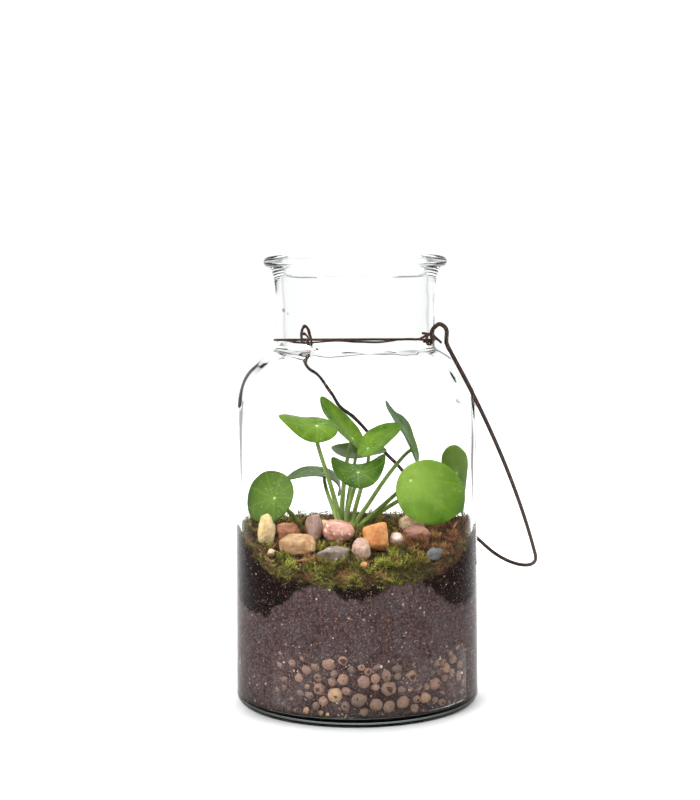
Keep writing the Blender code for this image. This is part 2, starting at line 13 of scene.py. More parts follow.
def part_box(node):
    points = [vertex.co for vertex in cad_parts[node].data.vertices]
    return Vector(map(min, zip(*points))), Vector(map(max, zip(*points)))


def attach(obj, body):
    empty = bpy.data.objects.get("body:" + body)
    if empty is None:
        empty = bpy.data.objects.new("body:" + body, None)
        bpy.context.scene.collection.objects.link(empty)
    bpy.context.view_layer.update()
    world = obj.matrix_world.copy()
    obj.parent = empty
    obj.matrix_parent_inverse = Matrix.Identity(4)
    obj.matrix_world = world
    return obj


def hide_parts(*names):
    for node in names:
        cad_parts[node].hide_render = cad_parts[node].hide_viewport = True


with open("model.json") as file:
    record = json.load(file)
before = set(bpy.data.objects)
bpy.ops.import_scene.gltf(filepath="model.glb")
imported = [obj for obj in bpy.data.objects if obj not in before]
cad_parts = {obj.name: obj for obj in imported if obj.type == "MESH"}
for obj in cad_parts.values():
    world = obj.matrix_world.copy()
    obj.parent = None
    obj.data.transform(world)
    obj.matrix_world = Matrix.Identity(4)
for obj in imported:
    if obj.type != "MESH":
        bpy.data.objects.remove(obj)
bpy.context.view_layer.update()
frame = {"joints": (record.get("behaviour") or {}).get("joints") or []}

MM = 0.001
JAR, BAIL = "jar", "bail"

# Jar, in millimetres from the base centre; height and body radius come from the frame
JAR_TOP = Vector(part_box("glass_jar")[1]) / MM
JAR_HEIGHT = JAR_TOP.z
BODY_RADIUS = JAR_TOP.x
BODY_WALL = 3.8
BASE_CORNER = 6.0
SHOULDER_RADIUS = 40.0
SHOULDER_CENTRE = (BODY_RADIUS - SHOULDER_RADIUS, 180.5)
NECK_RADIUS = 49.4
NECK_BORE = 44.5
NECK_FILLET = 3.0
RIM_RADIUS = 57.2
RIM_HEIGHT = 6.5
INNER_RADIUS = BODY_RADIUS - BODY_WALL
FILL_RADIUS = INNER_RADIUS + 0.12
INNER_FLOOR = 4.8
INNER_CORNER = 4.0
GLASS_IOR = 1.47
SEGMENTS = 192
WAVES_START = 12.0
THICK_BELOW = 8.0

# Fill
SOIL_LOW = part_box("potting_soil")[0][2] / MM
WALL_CRUMBS, GROUND_CRUMBS = 6500, 900
SOIL_BACK = 101.0
SOIL_MOUND = 2.0
SOIL_MOUND_WIDTH = 38.0
SOIL_FRONT_DROP = 16.0
SLOPE_START = -15.0
CROWN = Vector((-6.0, 6.0, 0.0))
CROWN_RADIUS = 3.2

# Wires
HINGE_HEIGHT = frame["joints"][0]["pos_m"][2] / MM
FRONT_EYE = radians(-44.5)
REAR_EYE = radians(130.0)
WIRE_RADIUS = 0.75
RING_RADIUS = NECK_RADIUS + 0.35 + WIRE_RADIUS
RING_HEIGHT = 223.3
RING_TILT = 0.8
EYE_RADIUS = 3.2
EYE_REACH = 60.1
EYE_PITCH = 2 * WIRE_RADIUS + 0.45
BAIL_RADIUS = 1.25
EYE_HEIGHT = HINGE_HEIGHT + EYE_RADIUS - WIRE_RADIUS - BAIL_RADIUS - 0.3
REST_SWING = radians(44.0)
LEG_START = 73.9
LEG_TAPER = 0.253
LEG_BOW = 7.08
LEG_LENGTH = 205.8
REAR_TUCK = 15.0
REAR_TUCK_LENGTH = 48.0

rng = np.random.RandomState(7)


# Node materials ---------------------------------------------------------------

class Nodes:
    """Short calls for the nodes of one tree."""

    def __init__(self, tree):
        self.tree = tree

    def node(self, kind, values=(), **settings):
        made = self.tree.nodes.new(kind)
        for key, value in settings.items():
            setattr(made, key, value)
        for socket, value in dict(values).items():
            self.put(made.inputs[socket], value)
        return made

    def put(self, socket, value):
        if isinstance(value, bpy.types.NodeSocket):
            self.tree.links.new(value, socket)
        elif isinstance(value, tuple) and len(value) == 3 and len(socket.default_value) == 4:
            socket.default_value = (*value, 1.0)
        else:
            socket.default_value = value

    def ramp(self, factor, *stops):
        made = self.node("ShaderNodeValToRGB", {"Fac": factor})
        elements = made.color_ramp.elements
        while len(elements) < len(stops):
            elements.new(0.5)
        for element, (position, colour) in zip(elements, stops):
            element.position = position
            element.color = (*colour, 1.0) if isinstance(colour, tuple) else (colour,) * 3 + (1.0,)
        return made.outputs["Color"]

    def mix(self, factor, first, second, blend="MIX"):
        made = self.node("ShaderNodeMix", {0: factor, 6: first, 7: second},
                         data_type="RGBA", blend_type=blend)
        return made.outputs[2]

    def mix_shaders(self, factor, first, second):
        return self.node("ShaderNodeMixShader", {0: factor, 1: first, 2: second}).outputs[0]

    def math(self, operation, *values):
        return self.node("ShaderNodeMath", enumerate(values), operation=operation).outputs[0]

    def add(self, first, second):
        return self.math("ADD", first, second)

    def times(self, first, second):
        return self.math("MULTIPLY", first, second)

    def length(self, x, y):
        return self.math("SQRT", self.add(self.times(x, x), self.times(y, y)))

    def split(self, vector):
        return self.node("ShaderNodeSeparateXYZ", {0: vector}).outputs

    def between(self, value, low, high):
        """Nought up to low, one from high, and smooth between them."""
        return self.node("ShaderNodeMapRange", {0: value, 1: low, 2: high},
                         interpolation_type="SMOOTHSTEP").outputs[0]


class Look(Nodes):
    """A Principled material, patterned in the piece's own coordinates."""

    def __init__(self, name, colour=(0.8, 0.8, 0.8), roughness=0.5, **fixed):
        self.material = bpy.data.materials.new(name)
        self.material.use_nodes = True
        super().__init__(self.material.node_tree)
        self.shader = self.tree.nodes["Principled BSDF"]
        self.output = self.tree.nodes["Material Output"]
        for key, value in {"Base_Color": colour, "Roughness": roughness, **fixed}.items():
            self.set(key.replace("_", " "), value)

    def set(self, socket, value):
        self.put(self.shader.inputs[socket], value)

    def place(self):
        return self.node("ShaderNodeTexCoord").outputs["Object"]

    def noise(self, scale, detail=4.0, roughness=0.55, distortion=0.0):
        return self.node("ShaderNodeTexNoise", {
            "Scale": scale, "Detail": detail, "Roughness": roughness, "Distortion": distortion,
            "Vector": self.place()}).outputs["Fac"]

    def cells(self, scale, feature="F1", output="Distance"):
        return self.node("ShaderNodeTexVoronoi", {"Scale": scale, "Vector": self.place()},
                         feature=feature).outputs[output]

    def attribute(self, name):
        return self.node("ShaderNodeAttribute", attribute_name=name).outputs["Fac"]

    def bump(self, height, strength, distance):
        """Roughen the surface further, on top of any bump it has."""
        made = self.node("ShaderNodeBump", {"Height": height, "Strength": strength,
                                            "Distance": distance})
        for link in self.shader.inputs["Normal"].links:
            self.put(made.inputs["Normal"], link.from_socket)
        self.set("Normal", made.outputs["Normal"])

    def done(self, base, *bumps):
        self.set("Base Color", base)
        for bump in bumps:
            self.bump(*bump)
        return self.material

    def glow(self, colour, share):
        """Light that comes through a thin blade from behind."""
        through = self.node("ShaderNodeBsdfTranslucent", {"Color": colour})
        self.put(self.output.inputs["Surface"],
                 self.mix_shaders(share, self.shader.outputs[0], through.outputs[0]))


def glass_look(name, tint):
    """Clear glass that mirrors little and lets lamps through to what stands inside."""
    look = Look(name)
    mirrored = look.node("ShaderNodeFresnel", {"IOR": GLASS_IOR}).outputs[0]
    # Below THICK_BELOW the glass refracts through a darker grey-green: partly the thick glass's own
    # colour, partly painted shade for the shadowed floor seen through the base.
    thick_and_shade = look.mix(look.attribute("thick_and_shade"), tint, (0.68, 0.72, 0.70))
    bent = look.node("ShaderNodeBsdfRefraction", {"Color": thick_and_shade, "Roughness": 0.0,
                                                  "IOR": GLASS_IOR})
    mirror = look.node("ShaderNodeBsdfAnisotropic", {"Color": (1.0, 1.0, 1.0), "Roughness": 0.0})
    glass = look.mix_shaders(look.math("POWER", mirrored, 1.8), bent.outputs[0],
                             mirror.outputs[0])
    clear = look.node("ShaderNodeBsdfTransparent", {"Color": (0.93, 0.95, 0.94)})
    shadow = look.node("ShaderNodeLightPath").outputs["Is Shadow Ray"]
    depth = look.node("ShaderNodeVolumeAbsorption", {"Color": (0.40, 0.52, 0.46), "Density": 3.2})
    look.put(look.output.inputs["Surface"], look.mix_shaders(shadow, glass, clear.outputs[0]))
    look.put(look.output.inputs["Volume"], depth.outputs[0])
    look.tree.nodes.remove(look.shader)
    return look.material


def wire_look(name, dark, rust, amount):
    """Old steel wire: dark scale with brown rust that gathers in patches."""
    look = Look(name, dark, Metallic=0.6)
    patches = look.noise(180.0, 6.0, 0.65)
    fine = look.noise(1400.0, 3.0)
    factor = look.add(patches, look.times(fine, 0.25))
    look.set("Roughness", look.ramp(factor, (0.4, 0.38), (0.8, 0.8)))
    return look.done(look.ramp(factor, (0.42, dark), (0.62 - amount, dark), (0.82, rust)),
                     (fine, 0.35, 0.0004), (patches, 0.3, 0.0008))


def clay_look():
    """Fired clay balls, dusty and misted, dark in the spot where they press on the wet glass."""
    look = Look("expanded_clay", roughness=0.85, Specular_IOR_Level=0.15)
    base = look.ramp(look.attribute("tone"), (0.0, (0.16, 0.12, 0.10)),
                     (0.35, (0.27, 0.165, 0.125)), (0.65, (0.37, 0.21, 0.155)),
                     (0.88, (0.50, 0.29, 0.18)), (1.0, (0.68, 0.44, 0.25)))
    dust = look.noise(420.0, 5.0, 0.6)
    base = look.mix(look.ramp(dust, (0.42, 0.0), (0.70, 0.6)), base, (0.22, 0.17, 0.155))
    pits = look.ramp(look.cells(520.0), (0.12, 1.0), (0.30, 0.0))
    base = look.mix(look.times(pits, 0.7), base, (0.035, 0.02, 0.016))
    pressed = look.ramp(look.attribute("rise"), (0.0, 0.0), (0.08, 0.8))
    base = look.mix(pressed, base, (0.045, 0.022, 0.016))
    return look.done(base, (look.cells(520.0), 0.4, 0.001), (dust, 0.5, 0.0008))


def soil_look():
    """Potting soil behind glass: wet and black where it lies close, greyish where it is misted,
    with mossy litter along its upper edge."""
    look = Look("potting_soil", roughness=0.75, Specular_IOR_Level=0.15)
    crumbs = look.noise(420.0, 6.0, 0.78)
    clods = look.noise(75.0, 5.0, 0.65)
    wet = look.ramp(crumbs, (0.42, (0.004, 0.002, 0.002)), (0.55, (0.014, 0.005, 0.004)),
                    (0.64, (0.055, 0.014, 0.010)), (0.78, (0.15, 0.055, 0.035)))
    mist = look.ramp(crumbs, (0.34, (0.052, 0.029, 0.029)), (0.50, (0.114, 0.070, 0.070)),
                     (0.66, (0.195, 0.132, 0.122)))
    mist = look.mix(look.ramp(clods, (0.42, 0.0), (0.60, 0.6)), mist, (0.142, 0.109, 0.116))
    mist = look.mix(look.ramp(look.noise(42.0, 5.0, 0.6), (0.53, 0.0), (0.66, 0.6)), mist,
                    (0.072, 0.037, 0.034))
    base = look.mix(look.attribute("haze"), wet, mist)
    grain = look.cells(1150.0, output="Color")
    base = look.mix(1.0, base, look.ramp(grain, (0.0, 0.45), (0.6, 1.0), (1.0, 1.55)), "MULTIPLY")
    for scale, low, share, strength in ((480.0, 0.66, 0.10, 0.8), (1000.0, 0.68, 0.16, 0.7)):
        near = look.ramp(look.cells(scale), (share, 1.0), (share * 1.9, 0.0))
        chosen = look.ramp(look.cells(scale, output="Color"), (low, 0.0), (low + 0.02, strength))
        tint = look.ramp(look.noise(scale * 0.8), (0.40, (0.50, 0.20, 0.09)),
                         (0.50, (0.60, 0.50, 0.43)), (0.60, (0.46, 0.12, 0.08)))
        base = look.mix(look.times(near, chosen), base, tint)
    litter = look.ramp(look.noise(300.0, 5.0, 0.7), (0.38, (0.020, 0.012, 0.007)),
                       (0.52, (0.085, 0.060, 0.022)), (0.64, (0.17, 0.16, 0.035)),
                       (0.78, (0.32, 0.17, 0.07)))
    return look.done(look.mix(look.attribute("cover"), base, litter), (crumbs, 0.7, 0.0015))


def crumb_look():
    look = Look("soil_crumbs", roughness=0.8)
    base = look.ramp(look.attribute("tone"), (0.0, (0.030, 0.015, 0.013)),
                     (0.45, (0.15, 0.085, 0.075)), (0.66, (0.26, 0.10, 0.07)),
                     (0.80, (0.48, 0.22, 0.12)), (0.88, (0.55, 0.45, 0.40)),
                     (0.97, (0.82, 0.74, 0.66)))
    grain = look.noise(900.0, 4.0)
    base = look.mix(look.ramp(grain, (0.4, 0.0), (0.8, 0.5)), base, (0.09, 0.055, 0.045))
    return look.done(base, (grain, 0.5, 0.0006))


def moss_look(name, dry):
    """Feathery moss; dry sets how much of it has turned rusty brown."""
    look = Look(name, roughness=0.6, Specular_IOR_Level=0.2, Subsurface_Weight=0.15,
                Subsurface_Radius=(0.001, 0.0012, 0.0004))
    # The tone carries painted light and shade: near black low in the mat, pale yellow-green or pale
    # brown on the tufts' tips.
    tone = look.attribute("tone")
    fresh = look.ramp(tone, (0.0, (0.030, 0.022, 0.008)), (0.35, (0.105, 0.090, 0.018)),
                      (0.7, (0.27, 0.27, 0.035)), (0.95, (0.68, 0.68, 0.13)))
    brown = look.ramp(tone, (0.0, (0.04, 0.018, 0.009)), (0.5, (0.22, 0.09, 0.035)),
                      (1.0, (0.56, 0.28, 0.12)))
    edge = 0.56 - dry * 0.35
    patch = look.ramp(look.noise(75.0, 4.0, 0.65), (edge, 0.0), (edge + 0.10, 1.0))
    return look.done(look.mix(patch, fresh, brown), (look.noise(1500.0, 2.0), 0.3, 0.0003))


def leaf_look(name, deep, pale, centre):
    """Upper side of a money plant leaf: waxy, with veins that fan out from the stalk."""
    look = Look(name, deep, 0.3, Specular_IOR_Level=0.3, IOR=1.3)
    flat = look.split(look.node("ShaderNodeUVMap", uv_map="blade").outputs["UV"])
    along, across = [look.times(look.math("SUBTRACT", flat[axis], 0.5), BLADE_SPAN)
                     for axis in "XY"]
    radius = look.length(along, across)
    bent = look.add(look.math("ARCTAN2", across, along), look.times(look.noise(90.0, 2.0), 0.35))
    off = look.math("PINGPONG", look.times(bent, VEINS / (2 * pi)), 0.5)
    gap = look.times(look.times(off, radius), 2 * pi / VEINS)
    vein = look.ramp(gap, (0.12, 1.0), (0.75, 0.0))
    net = look.ramp(look.cells(230.0, feature="DISTANCE_TO_EDGE"), (0.0, 1.0), (0.09, 0.0))
    blotch = look.noise(95.0, 3.0)
    base = look.mix(look.ramp(blotch, (0.35, 0.0), (0.7, 1.0)), deep, pale)
    # A paler centre round the hub, by the centre share; where that share is large it is a painted
    # reflection.
    middle = look.ramp(look.math("DIVIDE", radius, BLADE_SPAN), (0.06, centre), (0.34, 0.0))
    base = look.mix(middle, base, (0.30, 0.46, 0.08))
    base = look.mix(look.times(vein, 0.30), base, (0.26, 0.42, 0.04))
    base = look.mix(look.times(net, 0.10), base, (0.05, 0.14, 0.015))
    dots = look.ramp(look.cells(900.0), (0.15, 1.0), (0.3, 0.0))
    base = look.mix(look.times(dots, 0.15), base, (0.36, 0.52, 0.12))
    hub = look.ramp(radius, (0.9, 1.0), (1.5, 0.0))
    base = look.mix(look.times(hub, 0.8), base, (0.62, 0.74, 0.34))
    look.set("Roughness", look.ramp(blotch, (0.3, 0.24), (0.7, 0.42)))
    look.glow((0.24, 0.42, 0.01), 0.17)
    return look.done(base, (vein, -0.25, 0.0006), (look.cells(900.0), 0.12, 0.0003),
                     (look.noise(160.0, 2.0), 0.25, 0.0015))


def under_look(name, colour):
    """Lower side of a leaf, lit from behind and through."""
    look = Look(name, colour)
    veins = look.ramp(look.noise(140.0, 3.0), (0.4, 0.0), (0.65, 0.5))
    look.glow((0.28, 0.46, 0.03), 0.25)
    return look.done(look.mix(veins, colour, (0.26, 0.36, 0.08)),
                     (look.cells(260.0, feature="DISTANCE_TO_EDGE"), 0.2, 0.0005))


def stalk_look():
    look = Look("stalk", roughness=0.4)
    look.glow((0.35, 0.50, 0.10), 0.15)
    base = look.ramp(look.noise(130.0, 3.0), (0.35, (0.20, 0.32, 0.05)),
                     (0.65, (0.36, 0.48, 0.13)))
    return look.done(base, (look.noise(700.0, 2.0), 0.15, 0.0004))


def bark_look(name, roughness, scale, detail, depth, *stops):
    """Colours that follow one noise, which roughens the surface as well."""
    look = Look(name, roughness=roughness)
    rough = look.noise(scale, detail)
    return look.done(look.ramp(rough, *stops), (rough, *depth))


def stone_look(name, base, second, speck, speck_share):
    """A river pebble: two mixed colours, mineral specks and fine pores."""
    look = Look(name, base)
    clouds = look.noise(110.0, 5.0, 0.6, 0.6)
    colour = look.mix(look.ramp(clouds, (0.38, 0.0), (0.64, 1.0)), base, second)
    grains = look.cells(620.0, output="Color")
    picked = look.ramp(grains, (0.98 - speck_share, 0.0), (1.0 - speck_share, 0.85))
    colour = look.mix(picked, colour, speck)
    stain = look.ramp(look.noise(170.0, 6.0, 0.7, 1.2), (0.50, 0.0), (0.66, 0.75))
    colour = look.mix(stain, colour, tuple(c * share for c, share in zip(base, (0.72, 0.48, 0.32))))
    dark = look.ramp(look.noise(420.0, 5.0, 0.7), (0.56, 0.0), (0.70, 0.7))
    colour = look.mix(dark, colour, tuple(c * 0.30 for c in base))
    look.set("Roughness", look.ramp(clouds, (0.3, 0.43), (0.7, 0.75)))
    return look.done(colour, (look.noise(520.0, 5.0), 0.3, 0.0006), (clouds, 0.3, 0.0015))


# Mesh helpers -----------------------------------------------------------------

def new_piece(name, points, faces, looks, body=JAR, replaces=(), tone=None,
              slots=None, sharp=50, extra=None):
    """A smooth mesh piece from millimetre points that rides on a body."""
    mesh = bpy.data.meshes.new(name)
    mesh.from_pydata([tuple(p) for p in np.asarray(points, dtype=float) * MM], [], faces)
    mesh.update()
    mesh.shade_smooth()
    mesh.set_sharp_from_angle(angle=radians(sharp))
    for look in looks:
        mesh.materials.append(look)
    if slots is not None:
        mesh.polygons.foreach_set("material_index", slots)
    for label, values in {"tone": tone, **(extra or {})}.items():
        if values is not None:
            layer = mesh.attributes.new(label, "FLOAT", "POINT")
            layer.data.foreach_set("value", np.asarray(values, dtype=np.float32))
    piece = add_object(name, mesh)
    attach(piece, body)
    if replaces:
        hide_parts(*replaces)
    return piece


def add_object(name, data):
    made = bpy.data.objects.new(name, data)
    bpy.context.collection.objects.link(made)
    return made


def clamp(value):
    return max(0.0, min(1.0, value))


def polar(radius, angle):
    return radius * cos(angle), radius * sin(angle)


def full_turn(count):
    """Evenly spaced angles round a circle."""
    return [2 * pi * k / count for k in range(count)]


def spaced(start, end, steps):
    return [start + (end - start) * k / steps for k in range(steps + 1)]


def corners(node):
    """Low and high corner of a CAD node's box, in millimetres."""
    return [Vector(corner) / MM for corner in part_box(node)]


def arc(centre, radius, start, end, steps):
    return [(centre[0] + radius * cos(a), centre[1] + radius * sin(a))
            for a in map(radians, spaced(start, end, steps))]


def bearing(centre, point):
    return degrees(atan2(point[1] - centre[1], point[0] - centre[0]))


def rounds(count, segments):
    """Quads that join a stack of rings into a tube."""
    quads = []
    for low in range(0, (count - 1) * segments, segments):
        for k in range(segments):
            n = (k + 1) % segments
            quads.append((low + k, low + n, low + segments + n, low + segments + k))
    return quads


def capped(points, count, segments, low, high):
    """Faces of a closed tube; its two hub points are added to the end of the points."""
    faces = rounds(count, segments)
    points += [(0, 0, low), (0, 0, high)]
    bottom, top, last = len(points) - 2, len(points) - 1, (count - 1) * segments
    for k in range(segments):
        n = (k + 1) % segments
        faces += [(bottom, n, k), (top, last + k, last + n)]
    return faces


def lathe(profile, segments):
    """Turn a profile that starts and ends on the axis."""
    rings = profile[1:-1]
    points = [(*polar(radius, a), z) for radius, z in rings for a in full_turn(segments)]
    return points, capped(points, len(rings), segments, profile[0][1], profile[-1][1])


def sweep(path, radii, sides):
    """A round wire or twig along a path; radii is one radius or one for each point."""
    path = [Vector(p) for p in path]
    count = len(path)
    radii = [radii] * count if isinstance(radii, (int, float)) else radii
    side, points = None, []
    for k, here in enumerate(path):
        along = (path[min(k + 1, count - 1)] - path[max(k - 1, 0)]).normalized()
        side = side or along.orthogonal().normalized()
        side = (side - along * side.dot(along)).normalized()
        other = along.cross(side)
        points += [here + (side * cos(a) + other * sin(a)) * radii[k] for a in full_turn(sides)]
    ends = [tuple(reversed(range(sides))), tuple(range((count - 1) * sides, count * sides))]
    return points, rounds(count, sides) + ends


def smooth(knots, steps):
    """A Catmull-Rom curve through the knots."""
    knots = [Vector(p) for p in knots]
    padded = [2 * knots[0] - knots[1]] + knots + [2 * knots[-1] - knots[-2]]
    curve = []
    for a, b, c, d in zip(padded, padded[1:], padded[2:], padded[3:]):
        for k in range(steps):
            t = k / steps
            curve.append(0.5 * (2 * b + (c - a) * t + (2 * a - 5 * b + 4 * c - d) * t * t
                                + (3 * b - a - 3 * c + d) * t ** 3))
    return curve + [knots[-1]]


def ball(divisions):
    """Points and faces of a unit icosphere."""
    made = bmesh.new()
    bmesh.ops.create_icosphere(made, subdivisions=divisions, radius=1.0)
    points = np.array([v.co[:] for v in made.verts])
    faces = [tuple(v.index for v in f.verts) for f in made.faces]
    made.free()
    return points, faces


def gather(parts):
    """Join (points, faces, tone) groups into one."""
    points, faces, tones = [], [], []
    start = 0
    for some, around, tone in parts:
        points.append(some)
        faces += [tuple(i + start for i in face) for face in around]
        tones.append(np.full(len(some), tone))
        start += len(some)
    return np.concatenate(points), faces, np.concatenate(tones)


# Jar --------------------------------------------------------------------------

def flared(radius, knots, steps):
    """A smooth line through (how much wider, height) knots."""
    return [(point.x, point.z) for point in smooth([(radius + x, 0, z) for x, z in knots], steps)]


def jar_profile():
    """The jar's section in (radius, height) points: its outer face and its inner face."""
    r0, z0 = SHOULDER_CENTRE
    fillet_r = NECK_RADIUS + NECK_FILLET
    fillet_z = z0 + sqrt((SHOULDER_RADIUS + NECK_FILLET) ** 2 - (fillet_r - r0) ** 2)
    shoulder_end = bearing((r0, z0), (fillet_r, fillet_z))
    outside = [(0.0, 0.0), (BODY_RADIUS * 0.5, 0.0)]
    outside += arc((BODY_RADIUS - BASE_CORNER, BASE_CORNER), BASE_CORNER, -90, 0, 8)
    outside += [(BODY_RADIUS, z) for z in range(20, 176, 12)]
    outside += arc((r0, z0), SHOULDER_RADIUS, 0, shoulder_end, 20)
    outside += arc((fillet_r, fillet_z), NECK_FILLET, 180 + shoulder_end, 180, 5)[1:]
    flare = [(0, 226.0), (0, 236.0), (0, 245.0), (0.5, 254.0), (1.4, 261.0), (2.9, 266.0),
             (4.4, 268.2)]
    outside += flared(NECK_RADIUS, flare, 14)
    half_rim = RIM_HEIGHT / 2
    outside += arc((RIM_RADIUS - half_rim, JAR_HEIGHT - half_rim), half_rim, -90, 90, 20)

    inner_shoulder = INNER_RADIUS - r0
    lip = 4.0
    lip_r = NECK_BORE + lip
    lip_z = z0 + sqrt((inner_shoulder + lip) ** 2 - (lip_r - r0) ** 2)
    inner_end = bearing((r0, z0), (lip_r, lip_z))
    inside = arc((NECK_BORE + 3.5, JAR_HEIGHT - 2.0), 2.0, 90, 180, 8)
    inside += flared(NECK_BORE, [(1.5, 271.0), (0.9, 263.0), (0.25, 254.0), (0, 244.0), (0, 230.0)],
                     8)
    inside += arc((lip_r, lip_z), lip, 180, 180 + inner_end, 5)
    inside += arc((r0, z0), inner_shoulder, inner_end, 0, 16)[1:]
    inside += [(INNER_RADIUS, z) for z in range(170, 20, -12)]
    centre = (INNER_RADIUS - INNER_CORNER, INNER_FLOOR + INNER_CORNER)
    inside += arc(centre, INNER_CORNER, 0, -90, 8)
    return outside, inside + [(BODY_RADIUS * 0.4, INNER_FLOOR), (0.0, INNER_FLOOR)]


def make_jar():
    """Pressed glass with the slight waves of an old mould."""
    outside, inside = jar_profile()
    points, faces = lathe(outside + inside, SEGMENTS)
    outer_count = (len(outside) - 1) * SEGMENTS
    waved = []
    for k, (x, y, z) in enumerate(points):
        radius = hypot(x, y)
        if radius > 1 and z > WAVES_START:
            inner = k >= outer_count
            seed = Vector((x, y, z)) / (13.0 if inner else 21.0) + Vector((0, 0, 40 * inner))
            amount = 0.14 + 0.32 * clamp((z - 165) / 25) * (z < 222)
            grow = 1 + amount * noise(seed) / radius
            x, y = x * grow, y * grow
        waved.append((x, y, z))
    # The attribute on the last line marks the thick base, whose darker tint is partly painted
    # shade.
    new_piece("clear_jar", waved, faces, [glass_look("clear_glass", (0.992, 0.996, 0.993))],
              replaces=["glass_jar"], sharp=80,
              extra={"thick_and_shade": [clamp((THICK_BELOW - z) / 3.0) for _, _, z in waved]})


# Wires ------------------------------------------------------------------------

def eye_point(eye, out, aside, height):
    """A point at an eye, given outward from the jar's axis, along the neck and upward."""
    outward = Vector((*polar(1, eye), 0.0))
    along = Vector((-outward.y, outward.x, 0.0))
    return outward * out + along * aside + Vector((0, 0, height))


def eye_turn(eye, start, end, reach_in, reach_out, steps):
    """Wire wound about an eye's outward axis, between two angles from its lowest point."""
    return [eye_point(eye, reach, -EYE_RADIUS * sin(a), EYE_HEIGHT - EYE_RADIUS * cos(a))
            for a, reach in zip(map(radians, spaced(start, end, steps)),
                                spaced(reach_in, reach_out, steps))]


def ring_arc(start, end):
    """Part of the ring round the neck, which lies a little higher at the front."""
    return [Vector((*polar(RING_RADIUS, a), RING_HEIGHT - RING_TILT * sin(a)))
            for a in spaced(start, end, 48)]


def neck_wire_path():
    """From the cut end beside the front eye, round its eye, the neck and the far eye."""
    leave = acos(RING_RADIUS / EYE_REACH)
    outer, rear_outer = EYE_REACH + 1.25 * EYE_PITCH, EYE_REACH + EYE_PITCH / 2
    cut_end = [(outer, 9.4, -2.1), (outer, 5.5, 0.3), (outer, 3.0, 1.8)]
    leaving = [(EYE_REACH - t * sin(leave), -t * cos(leave), z)
               for t, z in ((4.4, 0.5), (7.0, 0.0))]
    tail = [(EYE_REACH - 1.4 * EYE_PITCH, t, z) for t, z in ((9.0, 1.8), (3.0, 3.2), (-1.5, 3.6))]
    cut_end, leaving, tail = [
        [eye_point(FRONT_EYE, out, aside, EYE_HEIGHT + up) for out, aside, up in part]
        for part in (cut_end, leaving, tail)]
    onward = [eye_point(REAR_EYE, rear_outer - 0.4, -3.2, EYE_HEIGHT - EYE_RADIUS - 0.1)]
    rear, front_again = REAR_EYE - 2 * pi, FRONT_EYE - 2 * pi
    return (cut_end + eye_turn(FRONT_EYE, 211, -235, outer, EYE_REACH, 44) + leaving
            + ring_arc(FRONT_EYE - leave, rear + leave)
            + eye_turn(REAR_EYE, 0, 360, EYE_REACH - EYE_PITCH / 2, rear_outer, 32) + onward
            + ring_arc(rear - leave, front_again + leave) + tail)


def bail_outline():
    """The front end's hook, the front leg down to its foot, and half of the bend."""
    hook = [(57.0, 0), (60.0, 0), (63.6, 0), (65.2, 1.5), (66.9, 5.5), (70.4, 9.3),
            (74.9, 12.2), (79.4, 14.0), (81.8, 11.5), (80.8, 7.7), (77.4, 3.0), (74.5, -1.2)]
    leg = [(LEG_START - LEG_TAPER * drop + 4 * LEG_BOW * drop / LEG_LENGTH
            * (1 - drop / LEG_LENGTH), -drop) for drop in spaced(0, LEG_LENGTH, 40)[1:]]
    lean = atan(LEG_TAPER + 4 * LEG_BOW / LEG_LENGTH)
    end_radius = leg[-1][0] / cos(lean)
    centre = (0, -LEG_LENGTH + end_radius * sin(lean))
    return hook, leg, arc(centre, end_radius, -degrees(lean), -90, 14)[1:]


def rear_hook():
    """The rear end's hook: out along the hinge, up and over towards the leg; with the rest
    pose's directions, sideways and up, turned back into the bail's own plane."""
    knots = [(57.0, 0, 0), (60.0, 0, 0), (63.0, 0, 0.2), (64.6, 0.1, 1.8), (64.8, 0.6, 4.4),
             (64.4, 2.2, 7.4), (63.6, 4.8, 8.2), (62.8, 6.8, 6.0), (62.4, 7.8, 1.8),
             (62.6, 8.2, -3.5), (63.8, 9.0, -9.3)]
    c, s = cos(REST_SWING), sin(REST_SWING)
    return [Vector((-out, side * c + up * s, up * c - side * s)) for out, side, up in knots]


def bail_path():
    """The whole bail, from the front end's tip round to the rear end's."""
    hook, leg, bend = bail_outline()
    front = smooth([(s, 0, z) for s, z in hook], 6) + [Vector((s, 0, z)) for s, z in leg + bend]
    rear = [Vector((-s, 0, z)) for s, z in bend[-2::-1]]
    rear += [Vector((REAR_TUCK * max(0.0, 1 + z / REAR_TUCK_LENGTH) ** 2 - s, 0, z))
             for s, z in leg[::-1]]
    return front + rear + smooth(rear_hook(), 6)[::-1]


def make_wires():
    """The neck's wire with its two eyes, and the bail that hangs in them."""
    rusty = wire_look("rusty_wire", (0.030, 0.018, 0.014), (0.15, 0.055, 0.028), 0.05)
    brown = wire_look("dark_wire", (0.034, 0.022, 0.017), (0.17, 0.075, 0.045), 0.0)
    points, faces = sweep(smooth(neck_wire_path(), 2), WIRE_RADIUS, 12)
    new_piece("neck_ring", points, faces, [rusty], replaces=["neck_wire"])
    front, rear = eye_point(FRONT_EYE, EYE_REACH, 0, 0), eye_point(REAR_EYE, EYE_REACH, 0, 0)
    across = front - rear
    turned = (Matrix.Translation((front + rear) / 2 + Vector((0, 0, HINGE_HEIGHT)))
              @ Matrix.Rotation(atan2(across.y, across.x), 4, "Z")
              @ Matrix.Rotation(REST_SWING, 4, "X"))
    points, faces = sweep([turned @ p for p in bail_path()], BAIL_RADIUS, 16)
    new_piece("wire_bail", points, faces, [brown], body=BAIL,
              replaces=["bail_handle"])


# Fill -------------------------------------------------------------------------

